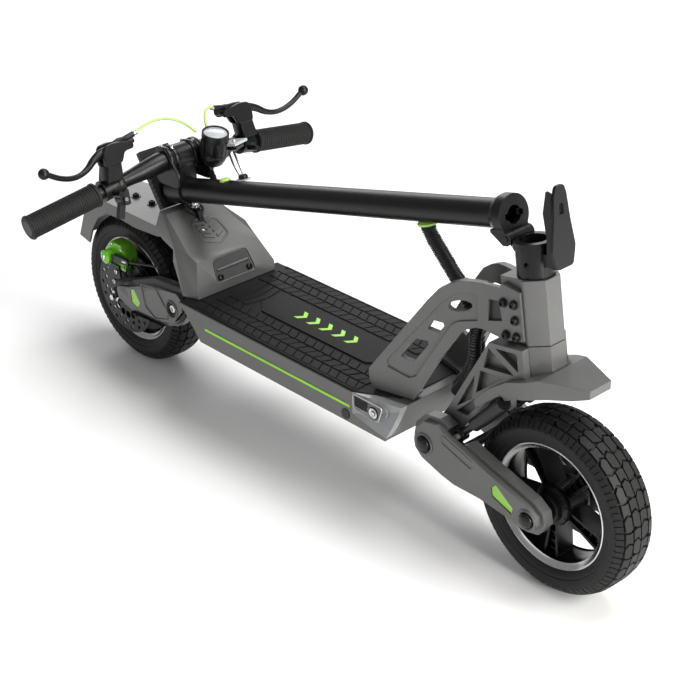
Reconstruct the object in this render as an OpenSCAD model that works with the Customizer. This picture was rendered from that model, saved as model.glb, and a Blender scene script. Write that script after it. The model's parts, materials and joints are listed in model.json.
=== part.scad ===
// Folding electric kick scooter, shown folded: the stem lies back over the deck.
// X points forward, Y to the rider's left, Z up, and the ground is Z = 0.
// The origin is under the middle of the scooter, on the ground.

/* [Overall] */
// Distance between the two wheel axles
wheelbase = 894; // [880:1:1100]
// Overhang of the rear fender's tail behind the rear axle
tail_overhang = 130; // [130:1:150]
// Length of the stem from the fold hinge to the handlebar clamp's far end
stem_len = 722; // [700:1:900]
// Half of the handlebar's width over the grips
bar_half = 270; // [250:1:340]

/* [Wheels] */
// Outer radius of both tyres
wheel_r = 127.5; // [126:0.5:128]
// Width of both tyres
tyre_w = 70; // [56:1:72]
// Radius of the rim's edge, where the bead sits
rim_r = 88; // [82:1:90]
// Width of the rim between its edges
rim_w = 46; // [40:1:50]
// Outer radius of both brake discs
disc_r = 70; // [60:1:72]
// Thickness of both brake discs
disc_t = 2; // [1.6:0.1:2.4]
// Radius of both wheel axles
axle_r = 6; // [5:0.5:7]
// Radial gap where a hub runs on its axle
run_gap = 0.05; // [0.02:0.01:0.09]

/* [Deck] */
// Width of the deck
deck_w = 197; // [165:1:240]
// Height of the deck box
deck_h = 49.5; // [45:0.5:52]
// Height of the deck's underside above the axles
deck_lift = 29; // [28:0.5:31]
// Wall of the deck box
deck_wall = 4; // [3:0.5:6]
// Thickness of the rubber mat
mat_t = 3; // [2:0.5:4]

/* [Column] */
// Backward lean of the steering column, in degrees
head_tilt = 8.5; // [6:0.5:10]
// Half width of the octagonal head tube
head_half = 30; // [28:0.5:33]
// Outer radius of the steerer tube in the head tube
steerer_r = 17; // [14:0.5:19]
// Outer radius of the black clamp under the fold hinge
clamp_r = 24; // [22:0.5:26]
// Distance from the column's axis back to the hinge pin
hinge_off = 26; // [25:0.5:30]
// Radius of the hinge pin
pin_r = 4; // [3:0.5:5]
// Outer radius of the stem tube
stem_r = 19; // [16:0.5:22]
// Wall of the stem tube
stem_wall = 3; // [2:0.5:4]

/* [Hidden] */

$fn = 48;
tiny = 0.01;
face_gap = 0.3;                       // gap between faces that move past each other

axle_z = wheel_r;
rear_x = -(wheelbase + wheel_r - tail_overhang) / 2;
front_x = rear_x + wheelbase;

// Deck, from the rear axle and from the front axle
deck_z0 = axle_z + deck_lift;
deck_z1 = deck_z0 + deck_h;
deck_x0 = rear_x + 268;
deck_x1 = front_x - 228;
nose_lean = 13;
deck_half = deck_w / 2;
mat_top = deck_z1 + mat_t;
lamp_len = 64;                        // how far the headlight wedge runs back
lamp_cut = 22;                        // how far it cuts in from the side at the nose

// Column: its local origin is on the steering axis, in the fold hinge's plane
column_back = 14;                     // steering axis behind the front axle, at axle height
column_len = 352.4;                   // along the axis, from axle height to the hinge plane
head_top = -46.5;
seam = -132;
crown_gap = 1.2;
crown_bottom = -190;
block_half = 26;
flange_t = 7;

pin_x = front_x - column_back - sin(head_tilt) * column_len - cos(head_tilt) * hinge_off;
pin_z = axle_z + cos(head_tilt) * column_len - sin(head_tilt) * hinge_off;

// The folded stem's axis passes over the footrest at this seat
seat_x = rear_x + 186;
seat_z = axle_z + 75.1 + 0.2 * stem_len;   // a longer stem lies higher, to clear the fender
seat_run = pin_x - seat_x;
seat_drop = pin_z - seat_z;
fold_slope = atan2(seat_drop, seat_run)
  + asin(hinge_off / sqrt(seat_run * seat_run + seat_drop * seat_drop));
knuckle_r = 8.5;
knuckle_half = 11;                    // half width of the middle knuckle
hinge_half = 22;                      // half width of the whole hinge

// Suspension pivots, from their own axle
rear_pivot = [172, 42];
front_pivot = [-183, 33];
pivot_r = 7;
rear_arm_in = 50;                     // inner face of the rear arms
rear_arm_out = 58;
cover_out = 79;
front_arm_in = 46;
front_arm_out = 70;

// Handlebar points in the stem's frame: [forward, y, along the stem]
bar_along = stem_len - 32;
bar_fwd = 53;
bar_mid_half = 38;
bar_bend = [bar_fwd, bar_mid_half, bar_along];
bar_r = 15.9;
bar_end_r = 11.1;
sweep_fwd = -35;                      // grips sit this much further back than the clamp
sweep_up = 23;
grip_len = 118;
grip_r = 18;
bar_tip = [bar_fwd + sweep_fwd, bar_half, bar_along + sweep_up];
grip_f = (bar_half - grip_len - bar_mid_half) / (bar_half - bar_mid_half);
lever_f = grip_f - 0.09;
lever_pivot_fwd = 57;                 // lever pivot ahead of the bar
lever_reach = 130;

function mix(a, b, f) = a + (b - a) * f;
function unit(v) = v / norm(v);
function bar_at(f) = mix(bar_bend, bar_tip, f);
function flip_y(p, s) = [p[0], p[1] * s, p[2]];

// ---------------------------------------------------------------- helpers
module at_rear() { translate([rear_x, 0, axle_z]) children(); }
module at_front() { translate([front_x, 0, axle_z]) children(); }
module both() { for (s = [-1, 1]) scale_y(s) children(); }
module scale_y(s) { if (s > 0) children(); else mirror([0, 1, 0]) children(); }
module in_column() {
  translate([front_x - column_back, 0, axle_z]) rotate([0, -head_tilt, 0])
    translate([0, 0, column_len]) children();
}
// The stem's frame: X forward when unfolded, Z along the stem from the hinge plane
module in_stem() {
  translate([pin_x, 0, pin_z]) rotate([0, -(90 + fold_slope), 0])
    translate([hinge_off, 0, 0]) children();
}
// Extrudes an outline drawn in X and Z from y0 to y1
module side(y0, y1) {
  translate([0, y1, 0]) rotate([90, 0, 0]) linear_extrude(y1 - y0) children();
}
// A cylinder along Y
module ycyl(x, z, r, y0, y1) {
  translate([x, y1, z]) rotate([90, 0, 0]) cylinder(r = r, h = y1 - y0);
}
// A straight rod or cone between two points
module rod(a, b, r, r2 = -1) {
  d = b - a;
  len = norm(d);
  translate(a) rotate([0, acos(d[2] / len), atan2(d[1], d[0])])
    cylinder(r1 = r, r2 = r2 < 0 ? r : r2, h = len);
}
module ball(p, r) { translate(p) sphere(r = r, $fn = 32); }
// A point on a smooth line through points: t counts points
function curve(p, t) = let (n = len(p) - 1, i = min(floor(t), n - 1), f = t - i, b = p[i], c = p[i + 1],
  a = i > 0 ? p[i - 1] : 2 * b - c, d = i + 2 <= n ? p[i + 2] : 2 * c - b)
  0.5 * (2 * b + (c - a) * f + (2 * a - 5 * b + 4 * c - d) * f * f + (3 * b - a - 3 * c + d) * f * f * f);
// A hose of the given radius along a smooth line; side is never along the line
module hose(pts, r, side, per, sides) {
  n = (len(pts) - 1) * per;
  mid = [for (i = [0 : n]) curve(pts, i / per)];
  dirs = [for (i = [0 : n]) unit(mid[min(i + 1, n)] - mid[max(i - 1, 0)])];
  skin = [for (i = [0 : n]) let (u = unit(cross(side, dirs[i])), v = cross(dirs[i], u))
    for (k = [0 : sides - 1]) mid[i] + r * (cos(k * 360 / sides) * u + sin(k * 360 / sides) * v)];
  walls = [for (i = [0 : n - 1]) for (k = [0 : sides - 1]) let (m = (k + 1) % sides, a = i * sides)
    for (f = [[a + k, a + sides + k, a + sides + m], [a + k, a + sides + m, a + m]]) f];
  polyhedron(skin, concat([[for (k = [0 : sides - 1]) k]],
    [[for (k = [sides - 1 : -1 : 0]) n * sides + k]], walls));
}
module ring_y(x, z, r_out, r_in, y0, y1) {
  difference() {
    ycyl(x, z, r_out, y0, y1);
    ycyl(x, z, r_in, y0 - 1, y1 + 1);
  }
}
module soft(r) { offset(r = r, $fn = 24) offset(delta = -r) children(); }
module point_hull(pts) { hull() for (p = pts) translate(p) cube(tiny, center = true); }

// ---------------------------------------------------------------- deck
module deck_outline() {
  polygon([[deck_x0, deck_z0], [deck_x1, deck_z0], [deck_x1 + nose_lean, deck_z1],
    [deck_x0 - 50, deck_z1], [deck_x0 - 32, deck_z1 - 14]]);
}
module nose_corner(grow) {
  y = deck_half;
  point_hull([[deck_x1 - lamp_len, -y - 1, deck_z1 + 1], [deck_x1 - lamp_len, -y - 1, deck_z1 - 33],
    [deck_x1 - 3, -y - 1, deck_z0 + 5], [deck_x1 + nose_lean + 20, -y - 1, deck_z0 + 5],
    [deck_x1 + nose_lean + 20, -y - 1, deck_z1 + 1],
    [deck_x1 + nose_lean + 20, -y + lamp_cut + grow, deck_z1 + 1],
    [deck_x1 + 20, -y + lamp_cut / 2 + grow, deck_z0 + 20],
    [deck_x1 - lamp_len, -y + grow, deck_z1 + 1], [deck_x1 - lamp_len, -y + grow, deck_z1 - 33],
    [deck_x1 - 3, -y + grow, deck_z0 + 5]]);
}
module deck_cavity() {
  side(-deck_half + deck_wall, deck_half - deck_wall)
    polygon([[deck_x0 + 6, deck_z0 - 1], [deck_x1 - 34, deck_z0 - 1],
      [deck_x1 - 34, deck_z1 - deck_wall], [deck_x0 + 6, deck_z1 - deck_wall]]);
}
lug_half = rear_arm_in - 1;
lug_in = 36;
module deck_shell() {
  color("#6b6b69") difference() {
    union() {
      side(-deck_half, deck_half) deck_outline();
      // Pivot lugs reach back to the rear swingarm
      for (s = [-1, 1]) scale_y(s) translate([rear_x, 0, axle_z]) {
        ycyl(rear_pivot[0], rear_pivot[1], 19, lug_in, lug_half);
        side(lug_in, lug_half) polygon([[172, 23], [268 + 4, 30], [250, 66], [176, 61]]);
      }
    }
    deck_cavity();
    both() nose_corner(12);
    for (s = [-1, 1]) scale_y(s)
      ycyl(rear_x + rear_pivot[0], axle_z + rear_pivot[1], pivot_r + 0.02, lug_in - 1, lug_half + 1);
    // Grooves for the side light strips
    both() translate([strip_x0, -deck_half - 1, strip_z - strip_h / 2])
      cube([strip_l, 1 + strip_d, strip_h]);
    // Charge port
    ycyl(port_x, port_z, port_r, -deck_half - 1, -deck_half + deck_wall + 1);
  }
}
strip_x0 = deck_x0 + 12;
strip_z = deck_z0 + 26;
strip_h = 5;
strip_d = 2;
strip_l = deck_x1 - lamp_len - 4 - strip_x0;
port_x = deck_x1 - 77;
port_z = deck_z0 + 11;
port_r = 6;
belly_t = 3;
module belly_plate() {
  color("#3c3c3c") difference() {
    translate([deck_x0 + 6, -deck_half + deck_wall, deck_z0])
      cube([deck_x1 - 34 - deck_x0 - 6, deck_w - 2 * deck_wall, belly_t]);
    for (x = [deck_x0 + 18, (deck_x0 + deck_x1) / 2, deck_x1 - 46]) both()
      translate([x, deck_half - deck_wall - 8, deck_z0 - 1]) cylinder(r = 2.2, h = belly_t + 2);
  }
}
panel_rise = 0.6;
module deck_mat() {
  in = 2;
  mid = (deck_x0 + deck_x1) / 2 - 21;
  color("#1d1e1f") translate([0, 0, deck_z1]) {
    linear_extrude(mat_t)
      polygon([[deck_x0 - 48, -deck_half + in], [deck_x1 - lamp_len, -deck_half + in],
        [deck_x1 + nose_lean - 3, -deck_half + in + lamp_cut + 12],
        [deck_x1 + nose_lean - 3, deck_half - in - lamp_cut - 12],
        [deck_x1 - lamp_len, deck_half - in], [deck_x0 - 48, deck_half - in]]);
    // Long raised panel down the middle
    linear_extrude(mat_t + panel_rise) polygon([for (q = [[-136, -10], [-112, -32], [112, -32],
      [136, -10], [136, 10], [112, 32], [-112, 32], [-136, 10]]) [mid + q[0], q[1]]]);
  }
}
module battery_pack() {
  color("#2f5f9e") translate([deck_x0 + 14, -deck_half + 14, deck_z0 + belly_t + 0.5])
    cube([battery_l, deck_w - 28, deck_h - belly_t - deck_wall - 3]);
}
battery_l = 230;
controller_l = 84;
module motor_controller() {
  color("silver") translate([deck_x0 + 14 + battery_l + 8, -34, deck_z0 + belly_t + 0.5]) {
    cube([controller_l, 78, 24]);
    for (i = [0 : 7]) translate([4 + i * 10.5, 0, 24 - tiny]) cube([3, 78, 8]);
  }
}
module side_light_strips() {
  color("#8fd43c") both()
    translate([strip_x0, -deck_half, strip_z - strip_h / 2]) cube([strip_l, strip_d, strip_h]);
}
module headlight_wedges() {
  color("#b9bec2") both() difference() {
    intersection() {
      side(-deck_half, 0) deck_outline();
      nose_corner(12);
    }
    nose_corner(0);
    led_hole(0);
  }
}
led = [deck_x1 - 10, -deck_half + 7, deck_z0 + 36];
led_dir = unit([0.55, -1, 0.25]);
module led_hole(r_in) {
  rod(led - led_dir * 4, led + led_dir * 20, 8.5 - r_in);
}
module charge_port_cap() {
  color("#1b1b1b") {
    ycyl(port_x, port_z, port_r - 0.02, -deck_half, -deck_half + deck_wall);
    ycyl(port_x, port_z, port_r + 2, -deck_half - 1, -deck_half);
  }
}

// ---------------------------------------------------------------- neck
foot_x = -283.5;
foot_y = deck_half - 24.5;
bend_x = -119;
bend_y = block_half + flange_t;
toe = atan2(foot_y - bend_y, bend_x - foot_x);
neck_t = 10;
function toed(pts) = [for (p = pts) [(p[0] - foot_x) / cos(toe), p[1]]];
neck_foot = deck_lift + deck_h + mat_t;
neck_outer = [[-283, neck_foot + 12], [-276, neck_foot], [-216, neck_foot], [-193, 125], [-174, 160],
  [-151, 197], [-141, 208], [-128, 215], [bend_x + 4, 216.5], [bend_x + 4, 280], [-130, 279],
  [-147, 276], [-162, 269], [-180, 256], [-195, 237], [-240, 173], [-284, 110]];
neck_panel = [[-256, 131], [-256, 121], [-223, 113], [-212, 119], [-161, 210], [-152, 217],
  [-124, 226], [-124, 262], [-142, 262], [-161, 252], [-177, 236]];
bolt_spots = [[-28, 9.5], [-11, 9.5], [-11, -11.5], [-28, -33.5], [-11, -33.5]];
block_mid = (head_top + seam) / 2 + 1;
module neck_side() {
  difference() {
    union() {
      translate([foot_x, -foot_y, 0]) rotate([0, 0, toe]) side(0, neck_t)
        polygon(toed(neck_outer));
      // Foot pad, bolted down on the deck
      translate([foot_x, -foot_y, 0]) rotate([0, 0, toe]) side(0, 22)
        polygon(toed([[-276, neck_foot], [-216, neck_foot], [-212, neck_foot + 7],
          [-280, neck_foot + 7]]));
      // Two arms and the flange on the head tube's block
      side(-bend_y, -block_half) difference() {
        polygon([[bend_x - 1, 216.5], [-78, 215.5], [-46.5, 224], [-56.4, 288], [-87, 291],
          [-89, 284], [bend_x - 1, 280]]);
        polygon([[-107, 232], [-84, 240], [-90, 266], [-107, 262]]);
      }
    }
    // Recessed panel with its three windows
    translate([foot_x, -foot_y, 0]) rotate([0, 0, toe]) {
      side(-1, 2.5) polygon(toed(neck_panel));
      side(-1, neck_t + 1) polygon(toed([[-236, 142], [-229, 139], [-217, 138], [-195, 170],
        [-196, 175], [-213, 174]]));
      side(-1, neck_t + 1) polygon(toed([[-196, 194], [-190, 193], [-180, 192], [-172, 204],
        [-174, 208], [-189, 208]]));
      side(-1, neck_t + 1) polygon(toed([for (a = [0 : 20 : 340])
        [-150 + 17 * cos(a) - 3 * sin(a), 239 + 7 * sin(a) + 6 * cos(a)]]));
    }
  }
}
module neck_plates() {
  color("#757573") difference() {
    at_front() both() neck_side();
    both() for (b = bolt_spots) in_column() translate([0, 0, block_mid])
      ycyl(b[0], b[1], 2.92, -bend_y - 1, -block_half + 1);
  }
}
module head_octagon(grow) {
  h = head_half;
  polygon([[-h * 0.55 - grow, -h], [5, -h], [27 + grow, -13.5], [27 + grow, 13.5], [5, h],
    [-h * 0.55 - grow, h]]);
}
module head_tube() {
  color("#8d8d88") difference() {
    union() {
      in_column() translate([0, 0, seam]) linear_extrude(head_top - seam)
        difference() {
          head_octagon(0);
          for (s = [-1, 1]) translate([-60 + 1.5, s * (block_half + 10) - 10]) square([60, 20]);
        }
      in_column() translate([-36, -block_half, seam]) cube([30, 2 * block_half, head_top - seam]);
    }
    in_column() {
      translate([0, 0, seam - 1]) cylinder(r = steerer_r + 3, h = head_top - seam + 2);
      for (z = [seam - 1, head_top - cup_h]) translate([0, 0, z]) cylinder(r = cup_r, h = cup_h + 1);
    }
    for (b = bolt_spots) in_column() translate([0, 0, block_mid])
      ycyl(b[0], b[1], 3, -block_half - 1, block_half + 1);
  }
}
cup_r = 24;
cup_h = 8;
module headset_bearings() {
  color("silver") in_column() for (z = [seam, head_top - cup_h]) translate([0, 0, z])
    difference() {
      cylinder(r = cup_r - 0.02, h = cup_h);
      translate([0, 0, -1]) cylinder(r = steerer_r + run_gap, h = cup_h + 2);
    }
}
module deck_bolts() {
  color("#1c1c1c") {
    both() for (b = bolt_spots) in_column() translate([0, 0, block_mid]) {
      ycyl(b[0], b[1], 2.9, -bend_y, -steerer_r - 8);
      ycyl(b[0], b[1], 4.8, -bend_y - 4, -bend_y);
    }
    at_rear() for (x = fender_bolt_x) translate([x, 0, 0]) {
      translate([0, 0, 148]) cylinder(r = 2.9, h = 3.5);
      translate([0, 0, 151.5]) cylinder(r = 5, h = 2.5);
    }
  }
}

// ---------------------------------------------------------------- footrest and rear fender
foot_z = deck_lift + deck_h + mat_t + 0.02;
// Height of the slope's top face
function kick_top(x) = 178.02 - (x - 130) * 39 / 76;
module kick_lower(in) {
  hull() for (y = [-1, 1]) {
    translate([240 - in, y * (76 - in), foot_z]) cube(tiny, center = true);
    translate([238 - in, y * (75 - in), 98]) cube(tiny, center = true);
    translate([212, y * (84 - in), foot_z]) cube(tiny, center = true);
    kick_knee(in, y);
    translate([221 - in, y * (60 - in), 131 - in]) cube(tiny, center = true);
  }
}
module kick_knee(in, y) {
  translate([206 - in, y * (62 - in), 139 - in]) cube(tiny, center = true);
  translate([178, y * (70 - in), 148 - in * 2]) cube(tiny, center = true);
  translate([170, y * (70 - in), 130]) cube(tiny, center = true);
}
module kick_upper(in) {
  hull() for (y = [-1, 1]) {
    kick_knee(in, y);
    translate([130, y * (46 - in), 178 - in]) cube(tiny, center = true);
    translate([112, y * (44 - in), 178 - in]) cube(tiny, center = true);
    translate([106, y * (50 - in), 151.5]) cube(tiny, center = true);
  }
}
fender_end = 122;
module rear_footrest() {
  color("#757573") at_rear() difference() {
    union() {
      kick_lower(0);
      kick_upper(0);
    }
    translate([-4, 0, -0.6]) {
      kick_lower(3.5);
      kick_upper(3.5);
    }
    // Open behind and below, over the fender's end
    translate([90, -100, 80]) cube([86, 200, 62]);
    translate([90, -100, 80]) cube([fender_end + 4 - 90, 200, 71.5]);
    // Window in the top face under the hook
    translate([166, -11, 100]) cube([14, 8, 100]);
  }
}
module rear_fender_outline() {
  polygon([[-tail_overhang, 60], [-105, 112], [-58, 151.5], [fender_end, 151.5], [fender_end, 138],
    [104, 134],    [46, 130], [10, 133], [-30, 131], [-62, 112], [-84, 84], [-98, 56]]);
}
module rear_fender_inner() {
  polygon([[-tail_overhang + 3.4, 52], [-tail_overhang + 3.4, 60], [-102, 110], [-56.5, 148.5], [130, 148.5],
    [130, 50], [0, 20], [-80, 20]]);
}
module rear_fender() {
  color("#7b7b78") at_rear() difference() {
    intersection() {
      side(-48, 48) rear_fender_outline();
      translate([0, 0, 40]) linear_extrude(140) polygon([[-140, -38], [-100, -42], [-30, -48], [130, -48],
        [130, 48], [-30, 48], [-100, 42], [-140, 38]]);
    }
    intersection() {
      side(-45, 45) rear_fender_inner();
      linear_extrude(180) polygon([[-150, -34.5], [-100, -39], [-30, -45], [140, -45],
        [140, 45], [-30, 45], [-100, 39], [-150, 34.5]]);
    }
    // Bevels beside the flat top
    both() translate([0, -33, 151.6]) rotate([-40, 0, 0]) translate([-160, -40, 0]) cube([320, 40, 40]);
    for (x = fender_bolt_x) translate([x, 0, 140]) cylinder(r = 3, h = 20);
  }
}
fender_bolt_x = [-13, 30];
// ---------------------------------------------------------------- stand and hook
stand_x = 450;
stand_y = 78;
stand_z = deck_lift - 14;
stand_reach = 92;                     // foot's distance out from the pivot
stand_r = 6;
stand_drop = axle_z + stand_z;
stand_lean = atan2(stand_drop, stand_reach);   // of the pivot's axis, from upright
module in_stand() {
  translate([rear_x + stand_x, stand_y, axle_z + stand_z]) rotate([-stand_lean, 0, 0]) children();
}
module kickstand_bracket() {
  color("#3a3a3a") difference() {
    union() {
      translate([rear_x + stand_x - 17, stand_y - 22, deck_z0 - 4]) cube([34, 34, 4]);
      in_stand() translate([0, 0, 6 + face_gap]) linear_extrude(8) {
        circle(r = 8);
        translate([-8, -30]) square([16, 30]);
      }
    }
    translate([rear_x, -deck_half, deck_z0]) cube([wheelbase, deck_w, 60]);
    in_stand() translate([0, 0, 6]) cylinder(r = 3, h = 20);
  }
}
module kickstand() {
  leg = norm([stand_reach, stand_drop]);
  color("#222222") in_stand() {
    translate([0, 0, -6]) cylinder(r = 7.4, h = 12);
    cylinder(r = 3 - run_gap, h = 14);
    rotate([-90, 0, 0]) cylinder(r = stand_r, h = leg - 4);
    translate([0, leg, 0]) rotate([stand_lean, 0, 0]) cylinder(r = 10, h = 6);
  }
}
// Hook that the stem's loop drops over; it stands on the footrest's slope
module fold_hook() {
  color("#1b1b1b") at_rear() side(-4, 4)
    polygon([[142, kick_top(142)], [161, kick_top(161)], [158, 171], [155, 178],
    [150, 181.5], [142, 182], [134, 181.2], [130, 179.5], [134, 178.8], [142, 178.6], [145, 175]]);
}

// ---------------------------------------------------------------- rear arm
module rear_pivot_axle() {
  color("silver") at_rear() {
    ycyl(rear_pivot[0], rear_pivot[1], pivot_r - 0.02, -cover_out + 4, cover_out - 4);
  }
}
module rear_swingarm() {
  color("#4a4a4a") at_rear() both() difference() {
    side(rear_arm_in, rear_arm_out) difference() {
      union() {
        polygon([[-16, -12], [12, -14], [60, -2], [150, 4], [186, 22], [196, 44], [188, 62], [172, 68],
          [118, 68], [60, 32], [12, 16], [-16, 12]]);
      }
      circle(r = axle_r + 0.02);
    }
    ycyl(rear_pivot[0], rear_pivot[1], pivot_r + run_gap, 0, 100);
  }
}
cover_outline = [[16, 27], [22, 6], [50, -4], [147, 2], [182, 14], [207, 42], [209, 68], [190, 83],
  [120, 75], [62, 52], [22, 40]];
module rear_arm_covers() {
  color("#6f6f6d") at_rear() both() difference() {
    side(rear_arm_out, cover_out) soft(4) polygon(cover_outline);
    // Bevel around the outer face
    difference() {
      side(cover_out - 7, cover_out + 1) polygon(cover_outline);
      side(cover_out - 8, cover_out + 2) offset(delta = -9) polygon(cover_outline);
    }
    ycyl(rear_pivot[0], rear_pivot[1], 12, cover_out - 8, cover_out + 1);
    ycyl(rear_pivot[0], rear_pivot[1], pivot_r + 0.3, 0, cover_out + 1);
    side(cover_out - 2.5, cover_out + 1) polygon(reflector_outline);
  }
}
reflector_outline = [[66, 16], [80, 12], [88, 22], [74, 42], [64, 38]];
module rear_reflectors() {
  color("#8fd43c") at_rear() both() side(cover_out - 2.5, cover_out - 0.5) polygon(reflector_outline);
}
module rear_axle() {
  color("silver") at_rear() {
    ycyl(0, 0, axle_r, -rear_arm_out - 9, rear_arm_out + 9);
    both() {
      translate([0, -rear_arm_out, 0]) rotate([90, 0, 0]) cylinder(r = 10, h = 6, $fn = 6);
    }
  }
}
module rear_brake_bracket() {
  color("#333333") at_rear() difference() {
    side(-rear_arm_out - 3.2, -rear_arm_out)
      polygon([[-24, 6], [13, 8], [13, 30], [10, 55], [-14, 55], [-24, 30]]);
    ycyl(0, 0, 11, -80, -40);
  }
}
module rear_caliper() {
  color("#7fd02f") at_rear() translate([4, 0, 70]) {
    difference() {
      side(-rear_arm_out, -36) soft(4)
        polygon([[-22, -22], [20, -22], [26, 6], [12, 22], [-16, 22], [-28, 6]]);
      side(-47.6, -42.4) translate([-4, -70]) circle(r = disc_r + 3);
      ycyl(4, 0, 4.05, -rear_arm_out - 12, -48);
    }
    ycyl(-16, -2, 11, -rear_arm_out - 11, -rear_arm_out + 2);
  }
}
module rear_caliper_arm() {
  color("#1e1e1e") at_rear() translate([8, 0, 70]) {
    ycyl(0, 0, 4, -rear_arm_out - 9, -49);
    side(-rear_arm_out - 9, -rear_arm_out - 4) {
      circle(r = 7);
      polygon([[-4, 6], [4, -6], [36, -2], [38, 5], [34, 8]]);
    }
  }
}

// ---------------------------------------------------------------- wheels
module tyre() {
  sidewall = 16;
  tread = 20;
  shoulder = wheel_r - 6;
  crown = wheel_r;
  rotate([90, 0, 0]) rotate_extrude($fn = 96) polygon([[rim_r + 0.3, -rim_w / 2 + 3],
    [rim_r + 0.3, -rim_w / 2 - 4], [rim_r + 12, -tyre_w / 2 + 2], [rim_r + sidewall + 4, -tyre_w / 2],
    [shoulder - 5, -tyre_w / 2 + 3], [shoulder + 3, -tread - 5], [crown, -tread + 2],
    [crown, tread - 2], [shoulder + 3, tread + 5], [shoulder - 5, tyre_w / 2 - 3],
    [rim_r + sidewall + 4, tyre_w / 2], [rim_r + 12, tyre_w / 2 - 2], [rim_r + 0.3, rim_w / 2 + 4],
    [rim_r + 0.3, rim_w / 2 - 3]]);
}
module rim_barrel(depth) {
  rotate([90, 0, 0]) rotate_extrude($fn = 96) polygon([[rim_r, -rim_w / 2], [rim_r, rim_w / 2],
    [rim_r - 4, rim_w / 2], [rim_r - depth, rim_w / 2 - 8], [rim_r - depth, -rim_w / 2 + 8],
    [rim_r - 4, -rim_w / 2]]);
}
module brake_disc(slots) {
  difference() {
    ycyl(0, 0, disc_r, 0, disc_t);
    ycyl(0, 0, 24, -1, disc_t + 1);
    for (i = [0 : slots - 1]) rotate([0, i * 360 / slots, 0]) {
      ycyl(disc_r - 8, 0, 3.2, -1, disc_t + 1);
      rotate([0, 12, 0]) ycyl(disc_r - 17, 0, 3.2, -1, disc_t + 1);
      rotate([0, 6, 0]) ycyl(disc_r - 30, 0, 6, -1, disc_t + 1);
    }
  }
  difference() {
    ycyl(0, 0, 24 + tiny, 0, disc_t);
    ycyl(0, 0, 15, -1, disc_t + 1);
  }
}
module rear_tyre() { color("#161616") at_rear() tyre(); }
module rear_hub_motor() {
  color("#262626") at_rear() difference() {
    union() {
      rim_barrel(8);
      ycyl(0, 0, rim_r - 7, -12, 12);
      ycyl(0, 0, 58, -20, 20);
      ycyl(0, 0, 20, -44, 44);
    }
    ycyl(0, 0, axle_r + run_gap, -60, 60);
  }
}
rear_disc_y = -46;
module rear_brake_disc() {
  color("#c8c8c8") at_rear() translate([0, rear_disc_y, 0]) brake_disc(18);
}
module front_tyre() { color("#161616") at_front() tyre(); }
module front_rim() {
  spokes = 5;
  color("#1f1f1f") at_front() difference() {
    union() {
      rim_barrel(6);
      ycyl(0, 0, 24, -36, 36);
      for (i = [0 : spokes - 1]) rotate([0, i * 360 / spokes + 20, 0])
        for (y = [-14, 8]) translate([20, y, -9]) cube([rim_r - 23, 6, 18]);
    }
    ycyl(0, 0, axle_r + run_gap, -60, 60);
  }
}
front_disc_y = 36;
module front_brake_disc() {
  color("#c8c8c8") at_front() translate([0, front_disc_y, 0]) brake_disc(18);
}

// ---------------------------------------------------------------- fork and column
truss_in = 32;
truss_out = 41;
module truss_outline() {
  polygon([[-52, seam - 2.5], [4, seam - 2.5], [4, crown_bottom], [-60, -214], [-106, -262],
    [-146, -306], [-160, -312], [-178, -300], [-176, -284], [-141, -249]]);
}
module fork_crown() {
  color("#80807d") difference() {
    union() {
      in_column() {
        translate([0, 0, crown_bottom]) linear_extrude(seam - crown_gap - crown_bottom) head_octagon(0);
        translate([0, 0, seam - crown_gap - tiny])
          cylinder(r = steerer_r, h = head_top - seam + crown_gap + 12);
        both() side(truss_in - 6, truss_out) truss_outline();
        // Bridge between the two trusses
        side(-truss_in, truss_in) polygon([[-52, seam - 2.5], [-10, seam - 2.5], [-10, crown_bottom],
          [-62, -206]]);
        side(-truss_in, truss_in) polygon([[-146, -276], [-128, -262], [-118, -272], [-140, -292]]);
      }
      // Ears that hold the shocks' upper pins
      at_front() both() side(truss_in, truss_out) {
        translate(shock_top) circle(r = 10);
        polygon([[shock_top[0] - 10, shock_top[1]], [shock_top[0] + 10, shock_top[1]],
          [shock_top[0] + 6, shock_top[1] + 20], [shock_top[0] - 18, shock_top[1] + 16]]);
      }
    }
    // Triangular pockets, seen from both sides
    both() in_column() side(-truss_out - 1, -truss_out + 9) {
      polygon([[-54, -143], [-14, -172], [-66, -172]]);
      polygon([[-42, -141], [-6, -141], [-6, -166]]);
      polygon([[-72, -178], [-34, -180], [-84, -212]]);
      polygon([[-84, -188], [-92, -222], [-122, -240]]);
      polygon([[-88, -222], [-66, -214], [-104, -250], [-124, -248]]);
    }
    at_front() both() ycyl(front_pivot[0], front_pivot[1], pivot_r + 0.02, 0, 60);
    at_front() both() ycyl(shock_top[0], shock_top[1], shock_pin_r + run_gap, 20, 60);
  }
}
fender_half = 52;
module front_fender_outline() {
  polygon([[50, 188], [-10, 188.5], [-58, 170], [-88, 148], [-112, 122], [-108, 112], [-84, 128],
    [-42, 152], [0, 164], [28, 169], [50, 176]]);
}
module front_fender_inner() {
  polygon([[46.5, 184.5], [-9, 185], [-56, 166.5], [-86, 144.5],
    [-116, 115], [-108, 90], [0, 140], [46.5, 150]]);
}
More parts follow.
